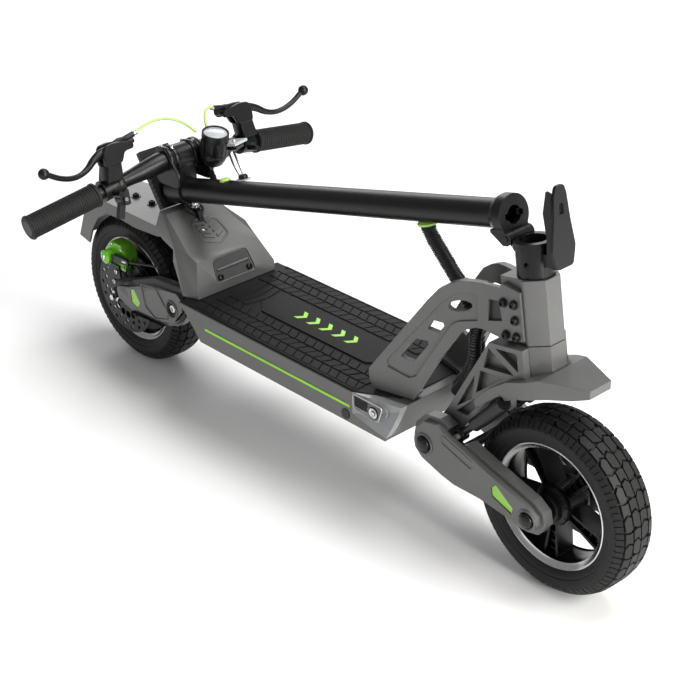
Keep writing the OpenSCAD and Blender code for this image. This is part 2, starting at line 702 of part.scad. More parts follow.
module front_fender() {
  color("#7d7d7a") difference() {
    at_front() difference() {
      intersection() {
        side(-fender_half, fender_half) front_fender_outline();
        linear_extrude(220) polygon([[-120, -52], [-30, -52], [-4, -43], [50, -20], [50, 20],
          [-4, 43], [-30, 52], [-120, 52]]);
      }
      intersection() {
        side(-fender_half, fender_half) front_fender_inner();
        linear_extrude(220) polygon([[-130, -49], [-31, -49], [-5, -40], [48, -17], [48, 17],
          [-5, 40], [-31, 49], [-130, 49]]);
      }
    }
    in_column() {
      translate([0, 0, crown_bottom - 20]) linear_extrude(80) head_octagon(0.5);
      both() side(truss_in - 7, truss_out + 0.4) offset(delta = 0.4) truss_outline();
      side(-truss_in, truss_in) offset(delta = 0.4) polygon([[-52, seam - 2.5], [-10, seam - 2.5],
        [-10, crown_bottom], [-62, -206]]);
    }
    at_front() both() side(truss_in - 1, shock_y + shock_r + 1) shock_strip(12, 11, -40, 17);
  }
}
clamp_screw_z = -28;
module lower_clamp() {
  color("#1a1a1a") in_column() difference() {
    union() {
      translate([0, 0, head_top + 0.6]) cylinder(r = clamp_r, h = -head_top - 0.6 - face_gap);
      translate([0, 0, -9 - face_gap]) cylinder(r = clamp_r + 2.5, h = 9);
      // Middle knuckle of the hinge
      ycyl(-hinge_off, 0, knuckle_r, -knuckle_half, knuckle_half);
      side(-knuckle_half, knuckle_half) polygon([[-hinge_off - knuckle_r, 0], [-hinge_off - knuckle_r, -4],
        [-clamp_r + 6, -24], [-clamp_r + 6, -face_gap], [-hinge_off + 6, -face_gap]]);
      // Lugs that carry the lock lever
      for (y = [-9.5, 4.5]) side(y, y + 5) polygon([[clamp_r - 6, -14], [clamp_r - 6, -34], [30, -29],
        [lock_x + 4, lock_z - 5.2], [lock_x + 6, lock_z], [lock_x + 5, lock_z + 6],
        [lock_x - 6, lock_z + 7]]);
    }
    translate([0, 0, head_top]) cylinder(r = steerer_r + 0.02, h = 13);
    translate([0, 0, head_top + 16]) cylinder(r = clamp_r - 6, h = 60);
    ycyl(-hinge_off, 0, pin_r + 0.02, -40, 40);
    both() ycyl(-hinge_off, 0, knuckle_r + 0.4, knuckle_half, 40);
    ycyl(lock_x, lock_z, 3 + run_gap, -40, 40);
    ycyl(6, clamp_screw_z, 4, -clamp_r - 2, -clamp_r + 8);
  }
}
lock_x = 37;
lock_z = -22;
module hinge_pin() {
  color("silver") in_column() ycyl(-hinge_off, 0, pin_r, -hinge_half - 1, hinge_half + 1);
}
lock_len = 96;
module lock_lever() {
  color("#161616") in_column() {
    // Side walls
    both() difference() {
      side(10.2, 14.2) polygon([[lock_x - 6, lock_z - 6], [lock_x + 7, lock_z - 8],
        [lock_x + 7, lock_z + lock_len - 8], [lock_x + 1, lock_z + lock_len - 6],
        [lock_x - 6, lock_z + 62], [lock_x - 3, lock_z + 30]]);
    }
    // Broad outer face, wider at the foot
    translate([lock_x + 7 - tiny, 0, 0]) rotate([90, 0, 90]) linear_extrude(4.5) difference() {
      soft(6) polygon([[-15, lock_z - 8], [-21, lock_z + 16], [-15, lock_z + 50], [-11, lock_z + 84],
        [-7, lock_z + lock_len], [7, lock_z + lock_len], [11, lock_z + 84], [15, lock_z + 50],
        [21, lock_z + 16], [15, lock_z - 8]]);
      translate([0, lock_z + 70]) circle(r = 4);
      translate([-4, lock_z + 60]) square([8, 10]);
    }
    ycyl(lock_x, lock_z, 3, -14.2, 14.2);
    ycyl(lock_x + 1, lock_z + 44, 3, -14.2, 14.2);
  }
}

// ---------------------------------------------------------------- front arm and shocks
module front_pivot_axle() {
  color("#141414") at_front() {
    ycyl(front_pivot[0], front_pivot[1], pivot_r, -front_arm_out + 4, front_arm_out - 4);
    both() ycyl(front_pivot[0], front_pivot[1], 11, -front_arm_out - 1, -front_arm_out + 4);
  }
}
front_arm_outline = [[-209, 34], [-205, 55], [-188, 74], [-160, 78], [-140, 70], [-70, 47], [2, 26],
  [20, 14], [24, -4], [14, -20], [-6, -24], [-40, -18], [-82, -13], [-128, -13], [-152, -8],
  [-190, 4], [-206, 18]];
module front_swingarm() {
  color("#6b6b69") at_front() difference() {
    union() {
      both() side(front_arm_in, front_arm_out) soft(6) polygon(front_arm_outline);
      // Cross tube behind the tyre
      ycyl(-145, 25, 7, -front_arm_in - 2, front_arm_in + 2);
    }
    both() {
      // Bevel along the top edge
      side(front_arm_out - 8, front_arm_out + 1) difference() {
        offset(delta = 4) polygon(front_arm_outline);
        offset(delta = -7) polygon(front_arm_outline);
      }
      ycyl(front_pivot[0], front_pivot[1], 12, front_arm_out - 4, front_arm_out + 2);
      ycyl(front_pivot[0], front_pivot[1], pivot_r + run_gap, 0, 90);
      ycyl(0, 0, 11, front_arm_out - 4, front_arm_out + 2);
      ycyl(0, 0, axle_r + 0.02, 0, 90);
      side(front_arm_out - 4, front_arm_out + 1) polygon(front_reflector_outline);
      shock_pocket();
    }
  }
  color("#6b6b69") at_front() both()
    ycyl(shock_foot[0], shock_foot[1], shock_pin_r, shock_y - 7, shock_y + shock_r + 2);
}
front_reflector_outline = [[-62, 20], [-54, 28], [-24, 6], [-26, -4], [-60, 8]];
module front_reflectors() {
  color("#8fd43c") at_front() both() side(front_arm_out - 4, front_arm_out - 1.5)
    polygon(front_reflector_outline);
}
module front_axle() {
  color("#141414") at_front() {
    ycyl(0, 0, axle_r, -front_arm_out + 4, front_arm_out - 4);
    both() ycyl(0, 0, 10, -front_arm_out - 1, -front_arm_out + 4);
  }
}
cal_at = [-46, 54];
module front_caliper() {
  color("#7fd02f") at_front() difference() {
    translate([cal_at[0], 0, cal_at[1]]) union() {
      difference() {
        side(31.5, front_arm_in) soft(4) polygon([[-20, -14], [18, -8], [20, 12], [4, 20], [-20, 14]]);
        side(35, 39.5) translate([-cal_at[0], -cal_at[1]]) circle(r = disc_r + 2.5);
        ycyl(-4, 4, 3.55, 40, 60);
      }
    }
    ycyl(0, 0, 30, 0, 60);
  }
}
module front_caliper_arm() {
  color("#1e1e1e") at_front() translate([cal_at[0] - 4, 0, cal_at[1] + 4]) {
    ycyl(0, 0, 3.5, 41, front_arm_in + 6);
    side(front_arm_in + 1, front_arm_in + 5) {
      circle(r = 6);
      polygon([[-5, 3], [5, -3], [8, 26], [4, 30], [0, 28]]);
    }
  }
}
shock_foot = [-132, 62];
shock_top = [-66, 132];
shock_y = 51.5;
shock_r = 9.5;
shock_pin_r = 4;
shock_dir = unit([shock_top[0] - shock_foot[0], 0, shock_top[1] - shock_foot[1]]);
shock_top_at = [shock_top[0], shock_y, shock_top[1]];
shock_foot_at = [shock_foot[0], shock_y, shock_foot[1]];
module front_shock_bodies() {
  color("#171717") at_front() both() {
    difference() {
      rod(shock_top_at + shock_dir * 8, shock_top_at - shock_dir * 62, shock_r);
      rod(shock_top_at - shock_dir * 24, shock_top_at - shock_dir * 70, 5 + run_gap);
    }
    ycyl(shock_top[0], shock_top[1], shock_pin_r, truss_in + 2, shock_y);
  }
}
module front_shock_rods() {
  color("#c0c0c0") at_front() both() difference() {
    union() {
      rod(shock_foot_at, shock_foot_at + shock_dir * 60, 5);
      ycyl(shock_foot[0], shock_foot[1], 9, shock_y - 6, shock_y + 6);
    }
    ycyl(shock_foot[0], shock_foot[1], shock_pin_r + 0.35, 40, 70);
  }
}
// A strip along the shock's line, from one distance above its top pin to another
module shock_strip(end_a, half_a, end_b, half_b) {
  n = [-shock_dir[2], shock_dir[0]];
  f = [shock_dir[0], shock_dir[2]];
  polygon([shock_top + f * end_a - n * half_a, shock_top + f * end_a + n * half_a,
    shock_top + f * end_b + n * half_b, shock_top + f * end_b - n * half_b]);
}
// Room in the arm's inner side for the shock's lower eye, at every height of the arm
module shock_pocket() {
  side(front_arm_in - 1, shock_y + shock_r + 1.5) shock_strip(-52, 22, -108, 13);
}

// ---------------------------------------------------------------- stem
module stem_flange() {
  color("#161616") in_stem() difference() {
    union() {
      translate([0, 0, face_gap]) cylinder(r = clamp_r + 2.5, h = 14);
      translate([0, 0, 14]) cylinder(r1 = clamp_r + 2.5, r2 = stem_r + 3, h = 10);
      for (s = [-1, 1]) scale_y(s) {
        ycyl(-hinge_off, 0, knuckle_r, knuckle_half + face_gap, hinge_half);
        side(knuckle_half + face_gap, hinge_half) polygon([[-hinge_off - knuckle_r, 0],
          [-hinge_off - knuckle_r, 6], [-hinge_off + 8, 24], [-hinge_off + 12, 24],
          [-hinge_off + 12, face_gap],          [-hinge_off, face_gap]]);
      }
    }
    translate([0, 0, -1]) cylinder(r = 12, h = 40);
    translate([-4, -16, -1]) cube([8, 32, 8]);
    translate([0, 0, 10]) cylinder(r = stem_r + 0.02, h = 30);
    ycyl(-hinge_off, 0, pin_r + run_gap, -60, 60);
    side(-knuckle_half - face_gap, knuckle_half + face_gap)
      translate([-hinge_off, 0]) circle(r = knuckle_r + 0.6);
    translate([-hinge_off - 20, -knuckle_half - face_gap, -20])
      cube([20, 2 * (knuckle_half + face_gap), 40]);
  }
}
module stem_tube() {
  color("#101010") in_stem() difference() {
    translate([0, 0, 10]) cylinder(r = stem_r, h = stem_len - 32);
    translate([0, 0, 9]) cylinder(r = stem_r - stem_wall, h = stem_len);
    translate([0, 0, stem_len - 150]) rotate([0, 90, 0]) cylinder(r = 5, h = 40);
  }
}
collar_len = 40;
module bar_stem() {
  color("#181818") in_stem() difference() {
    union() {
      translate([0, 0, stem_len - collar_len]) cylinder(r = stem_r + 3, h = collar_len);
      side(-16, 16) polygon([[0, stem_len - collar_len], [bar_fwd, bar_along - 17],
        [bar_fwd, bar_along + 15],        [stem_r, stem_len - 2], [0, stem_len]]);
      ycyl(bar_fwd, bar_along, bar_r + 5, -bar_mid_half + 6, bar_mid_half - 6);
    }
    translate([0, 0, stem_len - collar_len - 10]) cylinder(r = stem_r + 0.02, h = 40);
    ycyl(bar_fwd, bar_along, bar_r + 0.02, -60, 60);
  }
}
module handlebar() {
  color("#141414") in_stem() {
    ycyl(bar_fwd, bar_along, bar_r, -bar_mid_half, bar_mid_half);
    for (s = [-1, 1]) {
      rod(flip_y(bar_at(-0.03), s), flip_y(bar_at(0.28), s), bar_r - 2, bar_end_r + 0.6);
      rod(flip_y(bar_at(0.2), s), flip_y(bar_at(0.995), s), bar_end_r);
    }
  }
}
module grips() {
  color("#1c1c1c") in_stem() for (s = [-1, 1]) difference() {
    rod(flip_y(bar_at(grip_f), s), flip_y(bar_at(1), s), grip_r);
    rod(flip_y(bar_at(grip_f - 0.02), s), flip_y(bar_at(0.995), s), bar_end_r + 0.02);
  }
}
lever_point = bar_at(lever_f);
lever_pivot = [lever_point[0] + lever_pivot_fwd, lever_point[1] - 6, lever_point[2] - 14];
module lever_bracket() {
  p = lever_point;
  d = unit(bar_tip - bar_bend);
  difference() {
    union() {
      rod(p - d * 9, p + d * 9, bar_end_r + 5);
      hull() {
        translate(p + [14, 0, -2]) cube([4, 18, 16], center = true);
        translate(lever_pivot + [-6, 0, -1]) cube([8, 22, 16], center = true);
      }
      hull() {
        translate(lever_pivot + [-4, 0, -1]) cube([10, 24, 15], center = true);
        translate(lever_pivot + [8, -26, -1]) cube([10, 8, 12], center = true);
      }
      rod(lever_pivot + [9, -28, -1], lever_pivot + [11, -42, -1], 4.5);
    }
    rod(p - d * 30, p + d * 30, bar_end_r + 0.02);
    translate(lever_pivot - [16, 12, 5.4]) cube([40, 60, 10.8]);
    translate(lever_pivot - [0, 0, 20]) cylinder(r = 3 + run_gap, h = 40);
  }
}
module lever_brackets() {
  color("#1a1a1a") in_stem() both() mirror([0, 1, 0]) lever_bracket();
}
lever_blade = [[-6, -6], [6, -6], [8, 6], [3, 22], [-10, 43], [-15, 66], [-9.5, 94], [1, 120], [-6, 124],
  [-19, 98], [-27, 66], [-21, 40], [-8, 18]];
module brake_lever() {
  translate(lever_pivot) {
    translate([0, 0, -8]) cylinder(r = 3, h = 16);
    translate([0, 0, -4.6]) cylinder(r = 8.3, h = 9.2);
    rotate([-7, 0, 0]) {
      translate([0, 0, -3.4]) linear_extrude(6.8) polygon(lever_blade);
      ball([-3, 122, 0], 8);
    }
  }
}
module brake_lever_left() { color("#1a1a1a") in_stem() brake_lever(); }
module brake_lever_right() { color("#1a1a1a") in_stem() mirror([0, 1, 0]) brake_lever(); }

dash_len = 95;
dash_half = 28;
module display() {
  color("#151515") in_stem() {
    translate([-23, 0, stem_len - 1]) rotate([0, -20, 0]) {
      translate([0, -dash_half, 2]) cube([dash_len, 2 * dash_half, 11]);
      for (i = [0 : 11]) translate([4 + i * 7.6, -dash_half - 1.5, 3]) cube([3.4, 2 * dash_half + 3, 8]);
    }
    side(-14, 14) polygon([[-20, stem_len], [stem_r, stem_len], [stem_r, stem_len + 20],
      [-20, stem_len + 5]]);
  }
}
lamp_at = [57, 35, bar_along - 45];
lamp_tilt = 25;
lamp_r = 21;
lamp_h = 58;
module headlamp() {
  plate_y = bar_mid_half - 5.8;
  color("#1a1a1a") in_stem() difference() {
    union() {
      translate(lamp_at) rotate([0, 90 + lamp_tilt, 0]) translate([0, 0, -lamp_h / 2])
        cylinder(r = lamp_r, h = lamp_h);
      ycyl(bar_fwd, bar_along, bar_r + 4, plate_y, plate_y + 2.6);
      side(plate_y, plate_y + 2.6) polygon([[bar_fwd - 8, bar_along - 14], [bar_fwd + 8, bar_along - 14],
        [bar_fwd + 12, bar_along - 30], [bar_fwd - 4, bar_along - 36]]);
    }
    ycyl(bar_fwd, bar_along, bar_r + 5.3, 0, plate_y - 0.05);
    ycyl(bar_fwd, bar_along, bar_r + 0.02, 0, 80);
  }
}
pod_f = 0.16;
module switch_pod() {
  p = bar_at(pod_f);
  d = unit(bar_tip - bar_bend);
  color("#c9ccce") in_stem() {
    difference() {
      union() {
        rod(p, p + d * 14, 20);
        translate(p + [8, -4, -44]) cube([5, 28, 30]);
      }
      rod(bar_at(-0.03), bar_at(0.28), bar_r - 1.98, bar_end_r + 0.62);
    }
    // Clamp and post of the thumb throttle on the other side
    difference() {
      union() {
        rod(throttle_at - throttle_dir * 5, throttle_at + throttle_dir * 5, bar_end_r + 4);
        for (z = [-13, 9]) translate(throttle_at + [-32, -2, z]) cube([26, 8, 4]);
        translate(throttle_at + [-24, 0, -12]) cylinder(r = 3, h = 24);
      }
      rod(throttle_at - throttle_dir * 40, throttle_at + throttle_dir * 40, bar_end_r + 0.02);
    }
  }
}
throttle_at = flip_y(bar_at(grip_f - 0.168), -1);
throttle_dir = unit(flip_y(bar_tip - bar_bend, -1));
module throttle_lever() {
  color("#202020") in_stem() translate(throttle_at + [-24, 0, 0]) difference() {
    union() {
      translate([0, 0, -8.5]) cylinder(r = 7.5, h = 17);
      rotate([0, 0, 200]) translate([0, -5, -4]) cube([30, 10, 8]);
    }
    translate([0, 0, -10]) cylinder(r = 3 + run_gap, h = 20);
  }
}
cable_r = 2.4;
module brake_cables() {
  start = lever_pivot + [11.4, -45, -1];
  color("#8fd43c") in_stem() for (s = [-1, 1]) hose([for (q = [[0, 0, 0], [9, -22, -5], [10, -44, -10],
    [-2, -63, -17], [-30, -70, -26]]) flip_y(start + q, s)], cable_r, [0, 0, 1], 4, 8);
}
// The wiring leaves the stem's underside and goes down towards the neck plates
module wiring_conduit() {
  color("#1a1a1a") hose([[pin_x - 154.8, 0, pin_z - 32.3], [pin_x - 153.1, 0, pin_z - 38.9],
    [pin_x - 144.5, 0, pin_z - 51.2], [pin_x - 130.5, 0, pin_z - 65.2], [pin_x - 116.5, 0, pin_z - 79.2]],
    10, [0, 1, 0], 2, 12);
}

// ---------------------------------------------------------------- assembly
deck_shell();
belly_plate();
deck_mat();
battery_pack();
motor_controller();
side_light_strips();
headlight_wedges();
charge_port_cap();
neck_plates();
head_tube();
headset_bearings();
deck_bolts();
rear_footrest();
rear_fender();
kickstand_bracket();
kickstand();
fold_hook();
rear_pivot_axle();
rear_swingarm();
rear_arm_covers();
rear_reflectors();
rear_axle();
rear_brake_bracket();
rear_caliper();
rear_caliper_arm();
rear_tyre();
rear_hub_motor();
rear_brake_disc();
fork_crown();
front_fender();
lower_clamp();
hinge_pin();
lock_lever();
front_pivot_axle();
front_swingarm();
front_reflectors();
front_axle();
front_caliper();
front_caliper_arm();
front_shock_bodies();
front_shock_rods();
front_tyre();
front_rim();
front_brake_disc();
stem_flange();
stem_tube();
bar_stem();
handlebar();
grips();
lever_brackets();
brake_lever_right();
brake_lever_left();
display();
headlamp();
switch_pod();
throttle_lever();
brake_cables();
wiring_conduit();
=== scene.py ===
# Looks of the folding electric kick scooter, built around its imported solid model.
# Lengths are millimetres; the placing functions world, rear, front, column and stem turn them into metres.
# A placing function takes an outline's two coordinates and a height, and gives a point in the world.
import json
import math

import bmesh
import bpy
from mathutils import Matrix, Vector

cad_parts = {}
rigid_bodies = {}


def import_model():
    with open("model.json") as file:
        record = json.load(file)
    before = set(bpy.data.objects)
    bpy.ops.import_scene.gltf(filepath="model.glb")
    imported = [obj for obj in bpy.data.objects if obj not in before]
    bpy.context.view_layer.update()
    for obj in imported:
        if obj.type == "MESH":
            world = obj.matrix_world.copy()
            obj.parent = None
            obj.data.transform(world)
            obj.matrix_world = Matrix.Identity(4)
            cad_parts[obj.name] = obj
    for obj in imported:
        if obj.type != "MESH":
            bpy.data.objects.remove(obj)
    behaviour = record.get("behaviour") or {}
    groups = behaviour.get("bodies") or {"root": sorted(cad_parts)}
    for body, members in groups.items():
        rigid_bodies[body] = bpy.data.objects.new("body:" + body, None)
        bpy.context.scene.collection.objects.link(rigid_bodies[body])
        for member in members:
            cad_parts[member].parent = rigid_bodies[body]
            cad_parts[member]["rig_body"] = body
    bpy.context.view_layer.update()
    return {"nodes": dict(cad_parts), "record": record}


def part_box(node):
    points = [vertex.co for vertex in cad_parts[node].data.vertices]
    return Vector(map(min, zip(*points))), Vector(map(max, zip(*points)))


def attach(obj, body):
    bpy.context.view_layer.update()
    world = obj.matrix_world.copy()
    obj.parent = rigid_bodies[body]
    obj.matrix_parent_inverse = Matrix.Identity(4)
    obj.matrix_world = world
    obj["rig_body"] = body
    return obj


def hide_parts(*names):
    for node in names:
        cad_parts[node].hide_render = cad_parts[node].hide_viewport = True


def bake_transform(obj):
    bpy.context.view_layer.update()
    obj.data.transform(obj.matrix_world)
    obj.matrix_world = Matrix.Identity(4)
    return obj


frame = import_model()
nodes = frame["nodes"]

# ------------------------------------------------------------------ frames
# Wheel centres, the fold hinge on the leaning column, and the folded stem's start and directions
REAR = Vector((-445.75, 0, 127.5))
FRONT = Vector((448.25, 0, 127.5))
HINGE = Vector((382.162, 0, 476.029))
LEAN = math.radians(8.5)
CX = Vector((math.cos(LEAN), 0, math.sin(LEAN)))
CZ = Vector((-math.sin(LEAN), 0, math.cos(LEAN)))
STEM = Vector((350.222, 0, 497.43))
SX = Vector((-0.23945, 0, 0.97091))
SZ = Vector((-0.97091, 0, -0.23945))
YY = Vector((0, 1, 0))


def world(x, y, z):
    return Vector((x, y, z)) / 1000


def rear(x, y, z):
    return (REAR + Vector((x, y, z))) / 1000


def front(x, y, z):
    return (FRONT + Vector((x, y, z))) / 1000


def column(x, y, z):
    return (HINGE + CX * x + YY * y + CZ * z) / 1000


def stem(t, y, s):
    return (STEM + SX * t + YY * y + SZ * s) / 1000


def about(place, x=0, z=0, side=1, y=0):
    """An outline drawn in x and z about a point, with its thickness along y, to one side."""
    return lambda a, b, h: place(x + a, side * (y + h), z + b)


def on_tube(t=0, y=0, s=0):
    """An outline lying along the stem, with its thickness away from the stem's axis."""
    return lambda a, b, h: stem(t + h, y + b, s + a)


SIDES = ((-1, "right"), (1, "left"))


# ------------------------------------------------------------------ materials
PATCH_SCALE = 14.0      # noise scale of the slow changes in colour and roughness
BUMP_HEIGHT = 0.0004    # metres


def material(name, colour, rough, metal=0.0, grain=900.0, grain_depth=0.0, vary=0.12, edge=0.0,
             coat=0.0, spec=0.5, rough_vary=0.08):
    """A painted, moulded or metal surface with a fine grain; edge is its rounding in millimetres."""
    m = bpy.data.materials.new(name)
    m.use_nodes = True
    nt = m.node_tree
    b = nt.nodes["Principled BSDF"]
    b.inputs["Metallic"].default_value = metal
    b.inputs["Specular IOR Level"].default_value = spec
    b.inputs["Coat Weight"].default_value = coat
    b.inputs["Coat Roughness"].default_value = 0.2
    tc = nt.nodes.new("ShaderNodeTexCoord")
    big = nt.nodes.new("ShaderNodeTexNoise")
    big.inputs["Scale"].default_value = PATCH_SCALE
    big.inputs["Detail"].default_value = 6
    nt.links.new(tc.outputs["Object"], big.inputs["Vector"])
    ramp = nt.nodes.new("ShaderNodeValToRGB")
    dark = [c * (1 - vary) for c in colour]
    light = [min(1, c * (1 + vary)) for c in colour]
    ramp.color_ramp.elements[0].position = 0.3
    ramp.color_ramp.elements[0].color = (*dark, 1)
    ramp.color_ramp.elements[1].position = 0.7
    ramp.color_ramp.elements[1].color = (*light, 1)
    nt.links.new(big.outputs["Fac"], ramp.inputs["Fac"])
    nt.links.new(ramp.outputs["Color"], b.inputs["Base Color"])
    rr = nt.nodes.new("ShaderNodeMapRange")
    rr.inputs["To Min"].default_value = max(0.03, rough - rough_vary)
    rr.inputs["To Max"].default_value = min(1, rough + rough_vary)
    nt.links.new(big.outputs["Fac"], rr.inputs["Value"])
    nt.links.new(rr.outputs["Result"], b.inputs["Roughness"])
    normal = None
    if edge:
        bev = nt.nodes.new("ShaderNodeBevel")
        bev.samples = 4
        bev.inputs["Radius"].default_value = edge / 1000
        normal = bev.outputs["Normal"]
    if grain_depth:
        fine = nt.nodes.new("ShaderNodeTexNoise")
        fine.inputs["Scale"].default_value = grain
        fine.inputs["Detail"].default_value = 3
        nt.links.new(tc.outputs["Object"], fine.inputs["Vector"])
        bump = nt.nodes.new("ShaderNodeBump")
        bump.inputs["Strength"].default_value = grain_depth
        bump.inputs["Distance"].default_value = BUMP_HEIGHT
        nt.links.new(fine.outputs["Fac"], bump.inputs["Height"])
        if normal:
            nt.links.new(normal, bump.inputs["Normal"])
        normal = bump.outputs["Normal"]
    if normal:
        nt.links.new(normal, b.inputs["Normal"])
    return m


def glass(name, tint, rough):
    m = material(name, tint, rough, vary=0.03, rough_vary=0.02)
    b = m.node_tree.nodes["Principled BSDF"]
    b.inputs["Transmission Weight"].default_value = 0.3
    b.inputs["IOR"].default_value = 1.45
    return m


# Colour, roughness, metal, grain scale, grain depth, change in colour, edge rounding, coat, specular
M = {
    "paint_grey": material("paint_grey", (0.115, 0.115, 0.113), 0.42, 0.45, 1500, 0.10, 0.08, 1.3, 0.1),
    # plate_dark also makes the dark sheet in the footrest recess, which is painted shade
    "plate_dark": material("plate_dark", (0.035, 0.035, 0.036), 0.45, 0.3, 1200, 0.1, 0.15, 1.0),
    "rubber_mat": material("rubber_mat", (0.006, 0.006, 0.0062), 0.6, 0, 1400, 0.35, 0.25, 0.5, 0, 0.26),
    "battery_wrap": material("battery_wrap", (0.03, 0.10, 0.28), 0.35, 0, 300, 0.1),
    "controller_alloy": material("controller_alloy", (0.5, 0.5, 0.5), 0.35, 0.9, 900, 0.2, 0.12, 0.8),
    "light_green": material("light_green", (0.30, 0.72, 0.03), 0.35, 0, 800, 0.05, 0.06, 0.4),
    "lens_clear": glass("lens_clear", (0.34, 0.35, 0.36), 0.14),
    "plastic_black": material("plastic_black", (0.005, 0.005, 0.005), 0.40, 0, 1600, 0.18, 0.2, 0.8, 0, 0.35),
    "steel_bright": material("steel_bright", (0.62, 0.62, 0.62), 0.22, 1.0, 700, 0.05, 0.08, 0.5),
    "steel_black": material("steel_black", (0.007, 0.007, 0.0075), 0.32, 0.4, 1200, 0.1, 0.2, 0.8),
    "alloy_black": material("alloy_black", (0.004, 0.004, 0.0042), 0.34, 0.0, 1500, 0.12, 0.2, 1.0, 0.0, 0.3),
    "reflector_green": material("reflector_green", (0.28, 0.62, 0.04), 0.25, 0, 500, 0.3, 0.08, 0.5, 0.4),
    "paint_green": material("paint_green", (0.16, 0.52, 0.02), 0.30, 0.35, 1200, 0.08, 0.1, 1.2, 0.3),
    "tyre_black": material("tyre_black", (0.0055, 0.0055, 0.0055), 0.58, 0, 900, 0.35, 0.3, 0.5, 0, 0.34),
    "disc_steel": material("disc_steel", (0.20, 0.20, 0.20), 0.34, 1.0, 500, 0.05, 0.1, 0.3),
    "rubber_grip": material("rubber_grip", (0.007, 0.007, 0.007), 0.62, 0, 1300, 0.3, 0.2, 0.3, 0, 0.34),
    "switch_silver": material("switch_silver", (0.50, 0.52, 0.54), 0.30, 0.3, 900, 0.05, 0.05, 0.8),
    "cable_green": material("cable_green", (0.40, 0.62, 0.14), 0.42, 0, 900, 0.1, 0.08),
    "cable_black": material("cable_black", (0.010, 0.010, 0.010), 0.45, 0, 900, 0.15, 0.2),
}
slots = {p["node"]: p["material_slot"] for p in frame["record"]["subparts"]}
for n, o in nodes.items():
    o.data.materials.clear()
    o.data.materials.append(M[slots[n]])
# These four look darker than their slot's material
for n in ("front_shock_rods", "headset_bearings", "hinge_pin", "rear_brake_disc"):
    nodes[n].data.materials[0] = M["steel_black"]


# ------------------------------------------------------------------ building
def smooth_line(pts, per):
    """Points on a smooth line through pts, per of them from each point to the next."""
    pts = [Vector(p) for p in pts]
    out = []
    for i in range(len(pts) - 1):
        b, c = pts[i], pts[i + 1]
        a = pts[i - 1] if i else b * 2 - c
        d = pts[i + 2] if i + 2 < len(pts) else c * 2 - b
        for k in range(per):
            f = k / per
            out.append(0.5 * (2 * b + (c - a) * f + (2 * a - 5 * b + 4 * c - d) * f * f
                              + (3 * b - a - 3 * c + d) * f ** 3))
    out.append(pts[-1])
    return out


def rounded(pts, r, steps=4):
    """The same outline with rounded corners."""
    out = []
    n = len(pts)
    for i in range(n):
        a, b, c = Vector(pts[i - 1]), Vector(pts[i]), Vector(pts[(i + 1) % n])
        d1, d2 = (a - b), (c - b)
        q = min(r, d1.length * 0.45, d2.length * 0.45)
        s, e = b + d1.normalized() * q, b + d2.normalized() * q
        for k in range(steps + 1):
            f = k / steps
            out.append(tuple(s * (1 - f) ** 2 + b * 2 * f * (1 - f) + e * f * f))
    return out


def border(p, outline, place, width, lo, hi, m=0):
    """A raised rim that follows an outline."""
    c = sum((Vector(q) for q in outline), Vector((0, 0))) / len(outline)
    n = len(outline)
    rings = []
    for grow, h in ((0, lo), (0.2, hi - 0.5), (0.35, hi), (0.75, hi), (0.9, hi - 0.5), (1, lo)):
        ring = []
        for i, q in enumerate(outline):
            a, b = Vector(outline[i - 1]), Vector(outline[(i + 1) % n])
            q = Vector(q)
            e1, e2 = (q - a).normalized(), (b - q).normalized()
            nrm = Vector((e1.y + e2.y, -e1.x - e2.x))
            nrm = nrm.normalized() if nrm.length > 1e-6 else (q - c).normalized()
            if nrm.dot(q - c) < 0:
                nrm = -nrm
            ring.append(place(*(q + nrm * width * grow), h))
        rings.append(ring)
    verts = [v for ring in rings for v in ring]
    k = len(rings)
    faces = [(r * n + i, r * n + (i + 1) % n, (r + 1) % k * n + (i + 1) % n, (r + 1) % k * n + i)
             for r in range(k) for i in range(n)]
    p.add(verts, faces, m)


def ribbed(turns, high, low):
    """The radius of a corrugated sleeve along its length."""
    return lambda f: high if (f * turns) % 1 < 0.55 else low


def collar(high, low):
    """The radius of a ring that is drawn in at both ends."""
    return lambda f: high if 0.1 < f < 0.9 else low


def finish_mesh(o):
    """Applies an object's modifiers and gives the mesh they make."""
    made = bpy.data.meshes.new_from_object(o.evaluated_get(bpy.context.evaluated_depsgraph_get()))
    o.modifiers.clear()
    o.data = made
    return made


